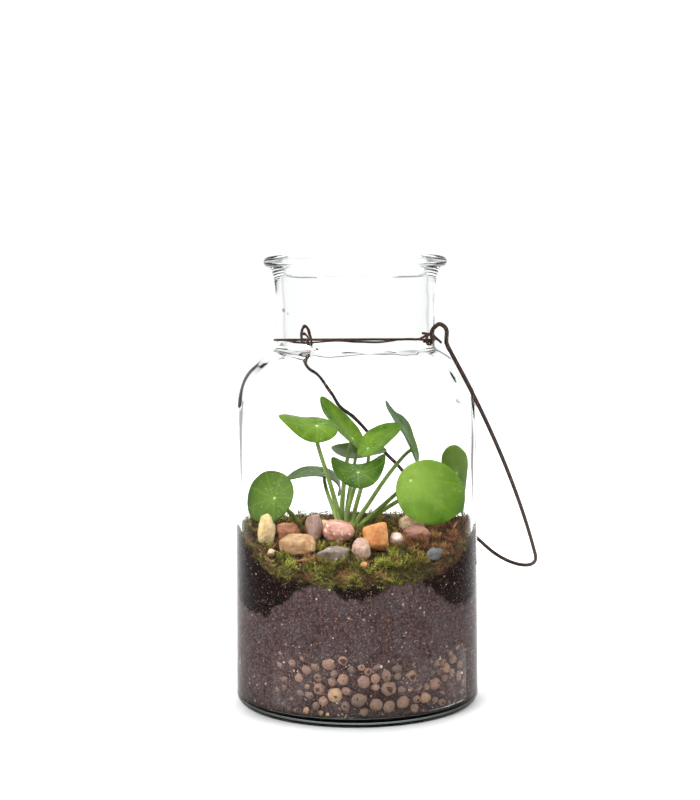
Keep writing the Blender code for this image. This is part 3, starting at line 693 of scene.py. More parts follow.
def soil_height(x, y):
    """The soil's surface: level at the back, lower to the front, with a low mound."""
    t = clamp((SLOPE_START - y) / (INNER_RADIUS + SLOPE_START))
    drop = SOIL_FRONT_DROP * t * t * (3 - 2 * t)
    mound = SOIL_MOUND * exp(-(x * x + y * y) / SOIL_MOUND_WIDTH ** 2)
    ripple = 0.5 * sin(x / 9.0) * cos(y / 11.0)
    return SOIL_BACK - drop + mound + ripple


def bore(z):
    """The jar's inside radius at a height in its body, with the round corner at the floor."""
    into = np.clip(INNER_FLOOR + INNER_CORNER - np.asarray(z, dtype=float), 0.0, INNER_CORNER)
    return INNER_RADIUS - INNER_CORNER + np.sqrt(INNER_CORNER ** 2 - into ** 2)


def hold_inside(points, over):
    """Press points that reach past the glass back to it."""
    room = (bore(points[:, 2]) + over) / np.maximum(1e-6, np.hypot(points[:, 0], points[:, 1]))
    points[:, :2] *= np.minimum(1.0, room)[:, None]
    points[:, 2] = np.maximum(points[:, 2], INNER_FLOOR + 0.12)


def wall_spot(a, z):
    return Vector((*polar(INNER_RADIUS, a), z))


def uneven(amount, spot, size, octaves=3):
    """A ragged offset that varies over the spot, in lumps of this size."""
    return amount * fractal(spot / size, 1.0, 2.1, octaves)


# Where the balls show: first and last bearing, and how far the soil thins out at each
BARE_ZONES = [(-134, -27, 20, 9), (58, 128, 14, 14)]


def bared(a, z):
    """How much the clay balls show, from nought to one: the sifted soil leaves them free."""
    share = 0.95 + 1.3 * noise(wall_spot(a, z) / 15.0) - max(0.0, z - 34.0) / 7.0
    turned = bearing((0, 0), polar(1, a))
    free = max(min((turned - low) / fade_in, (high - turned) / fade_out)
               for low, high, fade_in, fade_out in BARE_ZONES)
    return clamp(share) * clamp(free)


def wall_radius(a, z):
    """How far the soil reaches out: it touches the glass but for a few small hollows."""
    spot = wall_spot(a, z)
    hollow = noise(spot / 7.0 + Vector((9, 0, 0))) - 0.58
    return INNER_RADIUS + 0.09 + 0.02 * noise(spot / 1.1) - 1.2 * max(0.0, hollow)


def sifted_radius(a, z):
    """The sifted soil's face: at the glass in places, elsewhere back between the balls."""
    spot = wall_spot(a, z)
    back = (2.4 + 0.7 * noise(spot / 2.2)) * bared(a, z)
    back *= clamp((z - INNER_FLOOR - 2.0) / 4.0)
    return float(bore(z)) + 0.09 - max(0.0, back)


# The largest clay balls at the front: bearing, height, radius, tone
LARGE_BALLS = [(-101, 18.6, 5.3, 0.90), (-64, 28.0, 5.2, 0.60), (-50, 21.5, 4.6, 0.50),
               (-33, 22.5, 4.4, 0.45), (-87, 26.5, 4.4, 0.62), (-97, 28.0, 3.6, 0.70),
               (-75, 22.0, 5.0, 0.40), (-81, 36.0, 4.4, 0.35), (-68, 39.5, 3.6, 0.62),
               (-104, 36.5, 5.0, 0.58), (-68, 13.5, 4.4, 0.50), (-89, 16.0, 5.4, 0.30),
               (-115, 8.2, 2.6, 0.90), (-104, 7.4, 2.3, 1.0), (-99, 7.6, 2.0, 1.0)]
BALL_TRIES = 5200


def make_clay():
    """Clay balls of mixed size against the glass, bedded in soil that has sifted down."""
    unit, faces = ball(2)
    placed = [(radians(a), z, size, tone) for a, z, size, tone in LARGE_BALLS]
    for _ in range(BALL_TRIES):
        a, z = rng.uniform(-pi, pi), rng.uniform(INNER_FLOOR + 2.5, 41.0)
        size = rng.uniform(2.2, 4.6)
        apart = [hypot(((a - b + pi) % (2 * pi) - pi) * 70.0, z - y)
                 > 0.86 * (size + other) for b, y, other, _ in placed]
        if all(apart) and rng.rand() < 0.25 + bared(a, z):
            placed.append((a, z, size, clamp(rng.normal(0.42, 0.2))))
    parts, rises = [], []
    for a, z, size, tone in placed:
        reach = float(bore(z)) + rng.uniform(0.0, 0.14) - size
        lumps = np.array([1 + 0.16 * noise(Vector(p) * 1.5 + Vector((a * 9, z, 0)))
                          for p in unit])
        spin = Matrix.Rotation(rng.uniform(0, 6.28), 3, rng.normal(size=3))
        shape = (unit * rng.uniform(0.86, 1.12, 3) * lumps[:, None] * size) @ np.array(spin).T
        shape += [*polar(reach, a), max(z, INNER_FLOOR + size)]
        rises.append(np.hypot(shape[:, 0], shape[:, 1]) - bore(shape[:, 2]))
        hold_inside(shape, 0.13)
        parts.append((shape, faces, tone))
    points, faces, tones = gather(parts)
    new_piece("clay_balls", points, faces, [clay_look()],
              replaces=["drainage_clay"], tone=tones, extra={"rise": np.concatenate(rises)})


def wet_edge(angle):
    """Height down to which the soil lies wet and dark against the glass, by bearing."""
    knots = [(-180, 75), (-169, 69), (-159, 62.5), (-147, 60.5), (-136, 62.5), (-127, 69),
             (-119, 77.5), (-110, 82.5), (-102, 80.5), (-96, 75), (-90, 73.5), (-83, 76),
             (-77, 81), (-65, 83.5), (-55, 79.5), (-47, 71), (-38, 66), (-24, 65.5), (-14, 69),
             (-4, 73), (20, 74), (45, 86), (75, 78), (95, 66), (112, 65), (140, 82), (160, 80),
             (180, 75)]
    here = bearing((0, 0), polar(1, angle))
    for (a, low), (b, high) in zip(knots, knots[1:]):
        if here <= b:
            return low + (high - low) * (here - a) / (b - a)
    return knots[-1][1]


def haze_at(a, z):
    """Mist on the inside of the glass: one below the wet soil's ragged edge, nought above."""
    return clamp((wet_edge(a) + uneven(2.6, wall_spot(a, z), 5.0) - z) / 2.0 + 0.5)


def side_rise(x, y):
    """The litter and moss stand higher where they lean on the jar's two sides."""
    return 4.5 * clamp((abs(x) - 55.0) / 14.0) * clamp((y + 45) / 30)


def litter_height(x, y):
    """The ground that shows: loose litter on the soil, banked up against the glass."""
    bank = clamp((hypot(x, y) - 65) / 5) * clamp((y + 50) / 25)
    return (soil_height(x, y) + side_rise(x, y) + 0.8 + 3.8 * bank
            + uneven(1.3, Vector((x, y, 5.0)), 5.0, 4))


def low_edge(a):
    """Height of the soil's lower edge against the glass."""
    return SOIL_LOW + 3.0 * noise(Vector((*polar(4, a), 3.0)))


def make_soil():
    """One mass of soil close against the glass, and what has sifted down from it."""
    segments, side_rows, top_rows, sifted_rows = 420, 64, 34, 40
    look, turns = soil_look(), full_turn(segments)
    points, haze, cover = [], [], []
    for row in range(side_rows + 1):
        for a in turns:
            top = litter_height(*polar(INNER_RADIUS, a))
            z = low_edge(a) + (top - low_edge(a)) * row / side_rows
            points.append((*polar(wall_radius(a, z), a), z))
            haze.append(haze_at(a, z))
            cover.append(clamp((z + uneven(2.2, wall_spot(a, z), 4.0) - top + 4.0) / 1.5))
    for row in range(1, top_rows):
        for a in turns:
            x, y = polar(INNER_RADIUS * (1 - row / top_rows), a)
            points.append((x, y, litter_height(x, y)))
    faces = capped(points, side_rows + top_rows, segments, SOIL_LOW + 1, litter_height(0, 0))
    rest = len(points) - len(haze)
    new_piece("soil_mass", points, faces, [look], replaces=["potting_soil"],
              sharp=180, extra={"haze": haze + [0] * rest, "cover": cover + [1] * rest})

    points, haze = [], []
    for row in range(sifted_rows + 1):
        for a in turns:
            z = INNER_FLOOR - 0.06 + (low_edge(a) + 0.6 - INNER_FLOOR) * row / sifted_rows
            points.append((*polar(sifted_radius(a, z), a), z))
            haze.append(1.0 - 0.45 * bared(a, z))
    faces = capped(points, sifted_rows + 1, segments, INNER_FLOOR - 0.06, SOIL_LOW + 2)
    new_piece("sifted_soil", points, faces, [look], sharp=180,
              extra={"haze": haze + [1, 1]})


def make_crumbs():
    """Crumbs of soil, bark and grit, first against the glass and then on the ground."""
    unit, around = ball(1)
    parts = []

    def crumb(size):
        return unit * rng.uniform(0.6, 1.3, 3) * rng.uniform(0.75, 1.2, (len(unit), 1)) * size

    for _ in range(WALL_CRUMBS):
        a = rng.uniform(0, 2 * pi)
        size = 0.24 + 0.75 * rng.rand() ** 3
        z = rng.uniform(INNER_FLOOR + 1, soil_height(*polar(INNER_RADIUS, a)) - 3)
        if haze_at(a, z) < 0.5 and rng.rand() < 0.65:
            continue
        face = sifted_radius(a, z) if z < low_edge(a) else wall_radius(a, z)
        reach = face + 0.07 - size * rng.uniform(0.2, 0.8)
        shape = crumb(size) + [*polar(reach, a), z]
        hold_inside(shape, 0.15)
        parts.append((shape, around, rng.rand()))
    for _ in range(GROUND_CRUMBS):
        a, share = rng.uniform(0, 2 * pi), sqrt(rng.rand())
        x, y = polar(68 * share, a)
        shape = crumb(rng.uniform(0.5, 1.7)) + [x, y, litter_height(x, y)]
        parts.append((shape, around, rng.rand() * 0.9))
    points, faces, tones = gather(parts)
    new_piece("soil_crumbs", points, faces, [crumb_look()], tone=tones, sharp=20)


# Moss -------------------------------------------------------------------------

def moss_shoots(spots):
    """Tapering strips with leaflets, at (x, y, z, direction, length, tone) spots."""
    points, faces, tones, steps = [], [], [], 4
    for x, y, z, direction, length, shade in spots:
        along = Vector(direction).normalized()
        side = along.orthogonal().normalized()
        side.rotate(Matrix.Rotation(rng.uniform(0, pi), 3, along))
        droop = Vector(rng.normal(0, 0.28, 3))
        width = length * rng.uniform(0.07, 0.12)
        here, start, spine = Vector((x, y, z)), len(points), []
        for _ in range(steps + 1):
            spine.append((here.copy(), along.copy()))
            here += along * (length / steps)
            along = (along + droop * 0.5).normalized()
        for k, (spot, _) in enumerate(spine[:-1]):
            half = side * width * (1 - 0.7 * k / steps) * 0.5
            points += [spot - half, spot + half]
            # Painted shade and light: each strip is darker at its base, low in the mat, and lighter
            # towards its tip.
            tones += [shade * (0.4 + 0.6 * k / steps)] * 2
        points.append(spine[-1][0])
        tones.append(min(1.0, shade * 1.15))
        last = start + 2 * steps
        faces += [(a, a + 1, a + 3, a + 2) for a in range(start, last - 2, 2)]
        faces.append((last - 2, last - 1, last))
        for k, (spot, forward) in enumerate(spine[1:-1], 1):
            reach = length * 0.22 * (1.1 - 0.2 * k)
            for out in (-side, side):
                faces.append(tuple(range(len(points), len(points) + 3)))
                points += [spot - forward * width * 0.5, spot + forward * width * 0.5,
                           spot + out * reach + forward * reach * 0.8]
                # Painted highlight: each leaflet is lighter at its tip than where it sits on the
                # strip.
                tones += [shade * 0.7, shade * 0.8, min(1.0, shade * 1.2)]
    return points, faces, tones


MOSS_PATCHES = {
    # node: bearings, inner radius, shoots, dryness
    "moss_front": (-138, -52, 40.0, 4300, 0.15),
    "moss_right": (-52, 5, 30.0, 3000, 0.75),
    "moss_back_right": (5, 55, 20.0, 1700, 0.40),
    "moss_back": (55, 104, 14.0, 1300, 0.30),
    "moss_back_left": (104, 148, 14.0, 1300, 0.30),
    "moss_left": (148, 222, 30.0, 2600, 0.40),
    "moss_middle": (0, 360, 0.0, 900, 0.30),
}


def ground_clear(x, y, stones):
    """True where no pebble covers the ground."""
    return all(hypot((x - cx) / rx, (y - cy) / ry) > 0.9 for cx, cy, rx, ry in stones)


def make_moss(stones):
    """Shoots in clumps on each patch; the outermost ones are pressed against the glass."""
    for node, (start, end, inner, count, dry) in MOSS_PATCHES.items():
        middle = node == "moss_middle"
        spots = []
        while len(spots) < count:
            a = radians(rng.uniform(start, end))
            radius = (32 * sqrt(rng.rand()) if middle else
                      sqrt(rng.uniform(inner ** 2, (FILL_RADIUS + 1.5) ** 2)))
            x, y = polar(radius, a)
            y -= 4 * middle
            near_glass = radius > FILL_RADIUS - 5
            clump = noise(Vector((x, y, 0)) / 6.0)
            if not ground_clear(x, y, stones) or not near_glass and clump < -0.22:
                continue
            lift = 5.0 * max(0.0, clump + 0.15)
            z = litter_height(x, y) - 0.6 + lift
            if near_glass:
                z += rng.uniform(-4.5, 2.0) - lift * 0.5
                out = Vector((-sin(a), cos(a), 0)) * rng.choice([-1, 1])
                direction = out * rng.uniform(0.2, 1) + Vector((0, 0, rng.uniform(-0.7, 1.0)))
            else:
                z += rng.uniform(0.0, 1.0)
                direction = Vector((*rng.normal(0, 0.55, 2), rng.uniform(0.35, 1.0)))
            length = rng.uniform(3.0, 6.5)
            # Painted light and shade: shoots on raised clumps get a lighter tone, those in the
            # hollows between them a darker one.
            shade = min(1.0, max(0.02, rng.normal(0.38 + 1.25 * clump, 0.24)))
            spots.append((x, y, z, direction, length, shade))
        points, faces, tones = moss_shoots(spots)
        points = np.array([tuple(p) for p in points])
        reach = np.hypot(points[:, 0], points[:, 1])
        points[:, :2] /= np.maximum(1.0, reach / FILL_RADIUS)[:, None]
        new_piece(node + "_shoots", points, faces, [moss_look(node, dry)],
                  replaces=[node], tone=tones, sharp=180)


# Pebbles; their centres come from the frame
PEBBLES = {
    # half sizes, turn, tilt, squareness, then base, second and speck colours, share of specks
    "cream_tall": ((5.0, 4.6, 8.6), 10, 12, 0.5,
        (0.74, 0.50, 0.22), (0.90, 0.74, 0.44), (0.40, 0.20, 0.08), 0.03),
    "brown_red": ((6.6, 5.6, 5.4), 30, 8, 0.5,
        (0.28, 0.10, 0.05), (0.42, 0.19, 0.10), (0.60, 0.40, 0.26), 0.03),
    "tan_block": ((9.6, 5.6, 6.2), -8, 4, 0.8,
        (0.42, 0.23, 0.10), (0.62, 0.40, 0.22), (0.36, 0.16, 0.08), 0.03),
    "mauve": ((4.6, 5.4, 8.0), 20, -6, 0.4,
        (0.27, 0.155, 0.125), (0.42, 0.27, 0.22), (0.75, 0.68, 0.64), 0.08),
    "cream_small": ((5.6, 4.4, 4.6), 0, 10, 0.3,
        (0.72, 0.55, 0.34), (0.82, 0.72, 0.52), (0.50, 0.26, 0.12), 0.03),
    "pink_oval": ((8.2, 7.4, 7.4), 12, 20, 0.2,
        (0.50, 0.20, 0.145), (0.72, 0.43, 0.34), (0.88, 0.72, 0.62), 0.22),
    "grey_brown": ((9.0, 4.6, 4.2), 6, 5, 0.3,
        (0.17, 0.12, 0.095), (0.34, 0.26, 0.21), (0.60, 0.52, 0.46), 0.05),
    "pinkish": ((5.4, 4.8, 6.4), -20, 18, 0.3,
        (0.50, 0.31, 0.24), (0.68, 0.50, 0.40), (0.32, 0.13, 0.09), 0.08),
    "orange": ((7.4, 6.0, 8.4), 35, -8, 0.6,
        (0.60, 0.20, 0.05), (0.76, 0.38, 0.15), (0.30, 0.09, 0.03), 0.04),
    "pink_white": ((4.4, 3.8, 3.6), 0, 0, 0.2,
        (0.62, 0.42, 0.36), (0.78, 0.64, 0.56), (0.50, 0.22, 0.16), 0.08),
    "reddish_flat": ((8.0, 5.4, 4.0), -10, 5, 0.3,
        (0.26, 0.10, 0.065), (0.40, 0.20, 0.14), (0.64, 0.46, 0.36), 0.05),
    "tan_back": ((7.6, 6.0, 6.0), 20, -10, 0.5,
        (0.56, 0.35, 0.19), (0.70, 0.52, 0.34), (0.36, 0.18, 0.10), 0.04),
    "purple": ((4.2, 3.8, 4.4), 0, 0, 0.2,
        (0.12, 0.065, 0.065), (0.22, 0.14, 0.13), (0.40, 0.30, 0.28), 0.04),
    "slate": ((5.6, 2.6, 3.4), 46, 14, 0.6,
        (0.12, 0.13, 0.13), (0.20, 0.21, 0.21), (0.50, 0.50, 0.50), 0.04),
    "cream_bead": ((2.2, 2.0, 2.4), 0, 0, 0.2,
        (0.66, 0.48, 0.28), (0.78, 0.64, 0.42), (0.46, 0.24, 0.12), 0.03),
    "orange_bead": ((3.0, 2.4, 2.4), 15, 0, 0.2,
        (0.56, 0.24, 0.09), (0.70, 0.40, 0.18), (0.34, 0.12, 0.05), 0.04),
}


def make_pebbles():
    """Water-worn stones, each where its solid lies; returns their footprints."""
    unit, faces = ball(5)
    stones = []
    for name, (half, turn, tilt, square, *colours) in PEBBLES.items():
        low, high = corners("pebble_" + name)
        centre = (low + high) / 2
        power = 1.0 - 0.45 * square
        turned = Matrix.Rotation(radians(turn), 3, "Z") @ Matrix.Rotation(radians(tilt), 3, "X")
        seed = Vector((centre.x, centre.y, 0)) * 0.7
        flats = rng.normal(size=(11, 3))
        flats /= np.linalg.norm(flats, axis=1)[:, None] * rng.uniform(0.74, 0.92, 11)[:, None]
        worn = (1.0 + (np.maximum(0.0, unit @ flats.T) ** 13).sum(axis=1)) ** (-1 / 13)
        points = []
        for p, wear in zip(unit, worn):
            p = Vector([copysign(abs(c) ** power, c) for c in p])
            lump = 1.12 * wear * (1.0 + 0.12 * noise(p * 1.3 + seed) + 0.05 * noise(p * 3.4 + seed)
                                  + 0.02 * noise(p * 9.0 + seed))
            points.append(turned @ Vector([c * h for c, h in zip(p * lump, half)]) + centre)
        new_piece("stone_" + name, points, faces, [stone_look("pebble_" + name, *colours)],
                  replaces=["pebble_" + name], sharp=60)
        stones.append((centre.x, centre.y, (high.x - low.x) / 2, (high.y - low.y) / 2))
    return stones


# Plant ------------------------------------------------------------------------

BLADE_SPAN = 80.0
BLADE_THICKNESS = 0.7
VEINS = 9
PETIOLE_RADIUS = 1.1
STALK_STEP = 1.5

# Hub, facing and tip place a blade; long, wide and shift give its outline, in millimetres;
# curl bends it each way. Its stalk runs from root (a bearing on the crown, or a spot), off
# along rise, and its reach at both ends sets how far it goes straight.
Leaf = namedtuple("Leaf", "hub facing tip long wide shift curl root rise reach twist droop",
                  defaults=(0.0, None))
LEAVES = {
    "leaf_left_upper": Leaf((-24.3, -11, 170.8), (0.26, -0.5, 0.82), (-0.80, -0.1, 0.66), 18.5,
        14.5, 5, (-0.008, -0.035), 220, (-0.1, -0.1, 1), (30, 14), twist=0.012),
    "leaf_top": Leaf((-2.5, 13, 160.8), (0.70, -0.38, 0.60), (-0.655, 0.0, 0.755), 21, 13, 10.5,
        (0.0, 0.03), 140, (0, 0.1, 1), (25, 4)),
    "leaf_right_upper": Leaf((7, -2, 155.7), (-0.45, -0.5, 0.74), (0.72, 0.0, 0.70), 16, 12.5, 9,
        (0.0, 0.02), 300, (0.1, 0, 1), (20, 10)),
    "leaf_front_cup": Leaf((1, -16, 142.3), (0.0, -0.45, 0.89), (1, 0, 0.08), 19.5, 14.5, 0,
        (0.052, -0.03), 260, (-0.1, 0, 1), (14, 9)),
    "leaf_back": Leaf((-0.5, 34, 150), (0.05, 0.42, 0.90), (1, 0, -0.03), 18, 15, 2,
        (0.012, 0.01), 100, (0, 0.2, 1), (20, 14)),
    "leaf_left_back": Leaf((-20.5, 23, 138.5), (0.1, -0.12, 0.98), (-0.96, -0.05, 0.05), 23, 15,
        1, (-0.018, 0.0), 180, (-0.1, 0.15, 1), (14, 12), droop=-0.09),
    "leaf_left_low": Leaf((-50.8, -9, 126), (-0.42, -0.82, 0.38), (-0.72, 0.1, 0.20), 17.5, 16.5,
        4.5, (-0.006, -0.008), (-33, 8), (-0.4, -0.1, 1), (8, 7)),
    "leaf_right_front": Leaf((33.2, -16, 136.9), (0.04, -0.97, 0.22), (0.84, 0, -0.54), 20.3,
        19.4, 13, (0.004, 0.004), -20, (1, -0.2, 0.9), (16, 12)),
    "leaf_upright": Leaf((36.3, 22, 152.5), (0.93, -0.17, 0.36), (-0.36, 0, 0.93), 21.5, 16, 12.5,
        (-0.007, 0.02), 60, (0.7, 0.1, 1), (22, 8)),
    "leaf_right_back": Leaf((64.9, 6, 138.5), (0.88, 0.40, 0.1), (0.17, -0.05, -0.97), 22, 15.5,
        4, (-0.006, -0.022), 20, (1, 0.1, 0.8), (24, 12), twist=0.022),
}


def blade_frame(leaf):
    """Directions to the tip, across the blade, and out of its upper side."""
    facing = Vector(leaf.facing).normalized()
    tip = Vector(leaf.tip)
    tip = (tip - facing * tip.dot(facing)).normalized()
    return tip, facing.cross(tip), facing


def blade_point(leaf, u, v):
    """The curled surface at u along and v across from the hub, with a rippled margin."""
    tip, cross, facing = blade_frame(leaf)
    bend_u, bend_v = (c or 1e-6 for c in leaf.curl)
    if u < 0 and leaf.droop is not None:
        bend_u = leaf.droop
    turn = Matrix.Rotation(leaf.twist * u, 3, tip)
    cross, facing = turn @ cross, turn @ facing
    along = sin(u * bend_u) / bend_u
    across = sin(v * bend_v) / bend_v
    lift = (1 - cos(u * bend_u)) / bend_u + (1 - cos(v * bend_v)) / bend_v
    out = hypot(u, v)
    lift -= 0.8 * exp(-(out / 3.0) ** 2)
    share = min(1.2, out / leaf.wide)
    lift += 0.5 * share ** 3 * sin(3 * atan2(v, u) + leaf.long)
    lift += 0.25 * noise(Vector((u, v, leaf.wide)) / 6.0)
    return Vector(leaf.hub) + tip * along + cross * across + facing * lift


def blade_side(leaf, u, v, offset):
    """A point over or under the blade's middle surface."""
    step = 0.05
    here = blade_point(leaf, u, v)
    normal = (blade_point(leaf, u + step, v) - here).cross(blade_point(leaf, u, v + step) - here)
    return here + normal.normalized() * offset


def blade_edge(leaf, angle):
    """The outline at this angle from the tip, slightly pointed there."""
    point = 1.0 + 0.06 * max(0.0, cos(angle)) ** 6
    return leaf.shift + leaf.long * cos(angle) * point, leaf.wide * sin(angle)


def stalk_root(leaf):
    if isinstance(leaf.root, tuple):
        x, y = leaf.root
    else:
        a = radians(leaf.root)
        ring = CROWN_RADIUS + STALK_STEP
        x, y = CROWN.x + ring * cos(a), CROWN.y + ring * sin(a)
    return Vector((x, y, soil_height(x, y) + 0.6))


def stalk_path(leaf, steps):
    """From under the hub down to the root."""
    hub, root = Vector(leaf.hub), stalk_root(leaf)
    near_root, near_hub = leaf.reach
    rise = root + Vector(leaf.rise).normalized() * near_root
    under = hub - blade_frame(leaf)[2] * near_hub
    return [hub * (1 - t) ** 3 + under * 3 * t * (1 - t) ** 2 + rise * 3 * t * t * (1 - t)
            + root * t ** 3 for t in spaced(0, 1, steps)[1:]]


def make_leaf(name, leaf, looks):
    """Blade and stalk as one skin: upper side, margin, lower side, then down the stalk."""
    sides, rows, stalk_steps = 64, 14, 26
    angles = full_turn(sides)
    points, flat = [], []

    def add(u, v, offset):
        points.append(blade_side(leaf, u, v, offset))
        flat.append((u / BLADE_SPAN + 0.5, v / BLADE_SPAN + 0.5))

    half = BLADE_THICKNESS / 2
    add(0, 0, half)
    rings = [(row / rows, half * (1.0 if row < rows else 0.55)) for row in range(1, rows + 1)]
    margin = (1.0 + 0.3 / leaf.long, 0.0)
    for share, offset in rings + [margin] + [(share, -offset) for share, offset in rings[::-1]]:
        for u, v in [blade_edge(leaf, a) for a in angles]:
            add(u * share, v * share, offset)
    for a in angles:
        add(*polar(PETIOLE_RADIUS * 1.2, a), -half)
    blade_bands = (len(points) - 1) // sides
    path = stalk_path(leaf, stalk_steps)
    previous, side = Vector(leaf.hub), blade_frame(leaf)[0]
    for k, here in enumerate(path):
        along = (path[min(k + 1, stalk_steps - 1)] - previous).normalized()
        side = (side - along * side.dot(along)).normalized()
        other = side.cross(along)
        radius = PETIOLE_RADIUS * (1.0 + 0.5 * (k / stalk_steps) ** 1.5)
        points += [here + (side * cos(a) + other * sin(a)) * radius for a in angles]
        flat += [(0.5, 0.5)] * sides
        previous = here
    faces = [(0, 1 + k, 1 + (k + 1) % sides) for k in range(sides)]
    slots = [0] * sides
    bands = (len(points) - 1) // sides
    for band in range(bands - 1):
        a, b = 1 + band * sides, 1 + (band + 1) * sides
        faces += [(a + k, b + k, b + (k + 1) % sides, a + (k + 1) % sides) for k in range(sides)]
        slots += [0 if band < rows else 1 if band < blade_bands - 1 else 2] * sides
    faces.append(tuple(1 + (bands - 1) * sides + k for k in reversed(range(sides))))
    piece = new_piece(name.replace("leaf", "blade"), points, faces, looks,
                      replaces=[name], slots=slots + [2], sharp=70)
    layer = piece.data.uv_layers.new(name="blade")
    order = np.array([loop.vertex_index for loop in piece.data.loops])
    layer.data.foreach_set("uv", np.array(flat, dtype=np.float32)[order].ravel())


def make_dew():
    """Fine water drops left on the upper sides by misting."""
    unit, around = ball(1)
    parts = []
    drops = {"leaf_left_upper": 26, "leaf_front_cup": 20, "leaf_left_low": 40,
             "leaf_right_front": 22, "leaf_right_upper": 14, "leaf_top": 12, "leaf_left_back": 8}
    for name, count in drops.items():
        leaf = LEAVES[name]
        turned = np.array(blade_frame(leaf)[2].to_track_quat("Z", "Y").to_matrix())
        for _ in range(count):
            u, v = blade_edge(leaf, rng.uniform(0, 2 * pi))
            share = sqrt(rng.uniform(0.02, 0.9))
            size = rng.uniform(0.2, 0.45)
            spot = blade_side(leaf, u * share, v * share, BLADE_THICKNESS / 2 + size * 0.25)
            flat = unit * [size, size, size * 0.6]
            parts.append((flat @ turned.T + np.array(spot), around, 0.5))
    points, faces, tones = gather(parts)
    look = Look("dew", (0.80, 0.90, 0.66), 0.05, Transmission_Weight=0.6, IOR=1.33)
    look.bump(look.noise(2000.0, 1.0), 0.05, 0.0001)
    new_piece("dew_drops", points, faces, [look.material], tone=tones)


def make_plant():
    """Ten leaves round a short crown, and the dew on them."""
    # Painted light and shade: the four upper-side looks are one leaf material in lighter and darker
    # copies, each leaf getting the copy for how much light falls on it; the lit copy's wide pale
    # centre is a painted reflection.
    bright = leaf_look("leaf_bright", (0.032, 0.100, 0.001), (0.125, 0.215, 0.003), 0.20)
    lit = leaf_look("leaf_lit", (0.055, 0.145, 0.006), (0.15, 0.265, 0.020), 0.75)
    deep = leaf_look("leaf_shaded_deep", (0.013, 0.050, 0.001), (0.042, 0.100, 0.002), 0.12)
    shaded = leaf_look("leaf_shaded_dim", (0.016, 0.052, 0.001), (0.044, 0.098, 0.003), 0.35)
    below = under_look("leaf_below", (0.15, 0.25, 0.03))
    stalk = stalk_look()
    uppers = {"leaf_right_front": lit, "leaf_left_low": shaded, "leaf_left_back": deep,
              "leaf_right_back": deep, "leaf_upright": deep, "leaf_front_cup": deep}
    for name, leaf in LEAVES.items():
        make_leaf(name, leaf, [uppers.get(name, bright), below, stalk])
    base, steps = soil_height(CROWN.x, CROWN.y) - 1.0, 13
    side = [(CROWN_RADIUS * (1.05 - 0.045 * k) + 0.25 * sin(k * 1.6), base + k * 1.15)
            for k in range(steps)]
    points, faces = lathe([(0.0, base), *side, (0.0, base + 14.5)], 28)
    look = bark_look("crown", 0.6, 260.0, 3.0, (0.4, 0.0008), (0.35, (0.16, 0.14, 0.05)),
                     (0.6, (0.30, 0.34, 0.12)), (0.75, (0.30, 0.18, 0.09)))
    new_piece("crown", [Vector(p) + CROWN for p in points], faces, [look],
              replaces=["plant_stem"])
    make_dew()


def make_twigs():
    """Rusty bits of stem on the moss, and two thin dead strands."""
    rusty, dark = [
        bark_look(name, 0.8, 500.0, 4.0, (0.5, 0.0006), (0.35, low), (0.65, high))
        for name, low, high in (("twig_bark", (0.16, 0.05, 0.02), (0.42, 0.18, 0.08)),
                                ("twig_dark", (0.03, 0.018, 0.012), (0.10, 0.06, 0.04)))]
    for node in ("twig_front", "twig_right", "twig_left"):
        low, high = corners(node)
        if node == "twig_front":
            low.y, high.y = high.y, low.y
        low.z += 0.7
        high.z -= 0.5
        path = smooth([low, (low + high) / 2 + Vector((0.4, 0.3, 0.5)), high], 8)
        radii = [0.55 + 0.15 * sin(k * 1.3) for k in range(len(path))]
        points, faces = sweep(path, radii, 10)
        new_piece(node + "_bark", points, faces, [rusty], replaces=[node])
    ground = soil_height(-20, 10)
    strands = [[(-25, 9, 0), (-25.5, 9, 6), (-24, 9, 11), (-17, 10, 13)],
               [(-15, 8, 0), (-15.5, 8, 7), (-16.5, 8, 13)]]
    for number, knots in enumerate(strands, 1):
        path = smooth([(x, y, ground + up) for x, y, up in knots], 6)
        points, faces = sweep(path, [0.45 - 0.25 * i / len(path) for i in range(len(path))], 8)
        new_piece("dead_strand_%d" % number, points, faces, [dark])


# Stage ------------------------------------------------------------------------

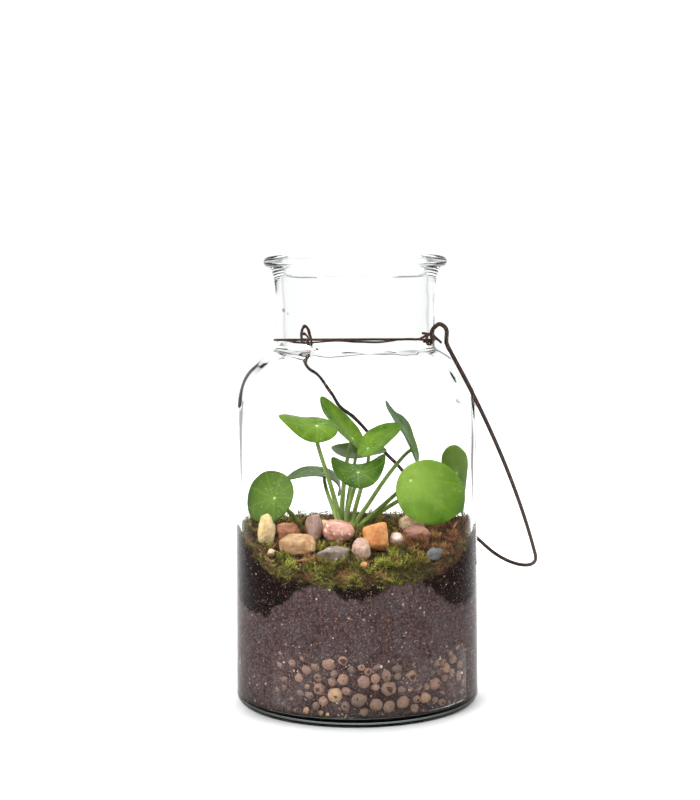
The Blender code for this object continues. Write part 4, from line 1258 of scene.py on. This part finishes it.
def make_stage():
    """A pale floor that glows most behind the jar and least in front and to the sides, with
    a soft dark ring where the jar stands: a painted contact shadow."""
    reach, dim, glow, far_glow = 9.0, 0.22, 0.42, 0.6
    shadow, shadow_end, shadow_shift = 0.064, 0.094, 0.012
    mesh = bpy.data.meshes.new("floor")
    mesh.from_pydata([(-reach, -reach, 0), (reach, -reach, 0), (reach, reach, 0),
                      (-reach, reach, 0)], [], [(0, 1, 2, 3)])
    look = Look("floor", roughness=0.9, Emission_Color=(1, 1, 1, 1))
    x, y, _ = look.split(look.place())
    spread = look.math("SUBTRACT", look.math("ABSOLUTE", x), look.times(y, 0.27))
    inside = look.math("SUBTRACT", 1.0, look.between(spread, 0.32, 0.60))
    near = look.times(look.between(y, -0.50, -0.17), inside)
    look.set("Base Color", look.mix(near, (0.25, 0.25, 0.25), (0.92, 0.92, 0.92)))
    more = look.add(glow, look.times(look.between(y, 0.08, 0.50), far_glow))
    more = look.add(dim, look.times(near, look.math("SUBTRACT", more, dim)))
    # Painted contact shadow: the floor's glow fades out in a ring round the jar's foot, centred a
    # little towards the front.
    clear_of_painted_shadow = look.between(look.length(x, look.add(y, shadow_shift)), shadow, shadow_end)
    look.set("Emission Strength", look.times(more, clear_of_painted_shadow))
    mesh.materials.append(look.material)
    floor = add_object("floor", mesh)
    floor.location.z = -0.0002


def make_world():
    """A white studio: brightest behind the jar, dimmest beside and above it."""
    world = bpy.data.worlds.new("studio")
    bpy.context.scene.world = world
    world.use_nodes = True
    nodes = Nodes(world.node_tree)
    back = nodes.tree.nodes["Background"]
    way = nodes.split(nodes.node("ShaderNodeTexCoord").outputs["Generated"])
    nodes.put(back.inputs["Color"], nodes.ramp(
        nodes.math("MULTIPLY_ADD", way["Y"], 0.5, 0.5),
        (0.0, 0.50), (0.30, 0.46), (0.50, 0.38), (0.72, 0.42), (0.85, 0.66), (0.92, 1.0)))
    back.inputs["Strength"].default_value = 1.06


def add_lamp(name, place, target, size, power):
    data = bpy.data.lights.new(name, "AREA")
    data.shape = "RECTANGLE"
    data.size, data.size_y = size
    data.energy = power
    lamp = add_object(name, data)
    lamp.location = place
    lamp.rotation_euler = (Vector(target) - Vector(place)).to_track_quat("-Z", "Y").to_euler()


def make_camera():
    data = bpy.data.cameras.new("camera")
    data.lens, data.sensor_width, data.shift_y = 66.7, 36.0, -0.105
    camera = add_object("camera", data)
    camera.location = (-0.0034, -0.926, 0.238)
    camera.rotation_euler = (radians(90), radians(0.3), 0)
    bpy.context.scene.camera = camera


make_jar()
make_wires()
make_clay()
make_soil()
make_crumbs()
make_moss(make_pebbles())
make_plant()
make_twigs()
make_stage()
make_world()
add_lamp("key", (-0.7, -0.9, 1.1), (0, 0, 0.12), (0.6, 0.6), 13)
add_lamp("fill", (1.0, -0.5, 0.7), (0, 0, 0.12), (0.5, 0.9), 5)
add_lamp("top", (0.0, 0.2, 1.3), (0, 0, 0.1), (0.7, 0.7), 8)
make_camera()
bpy.context.scene.view_settings.view_transform = "Standard"
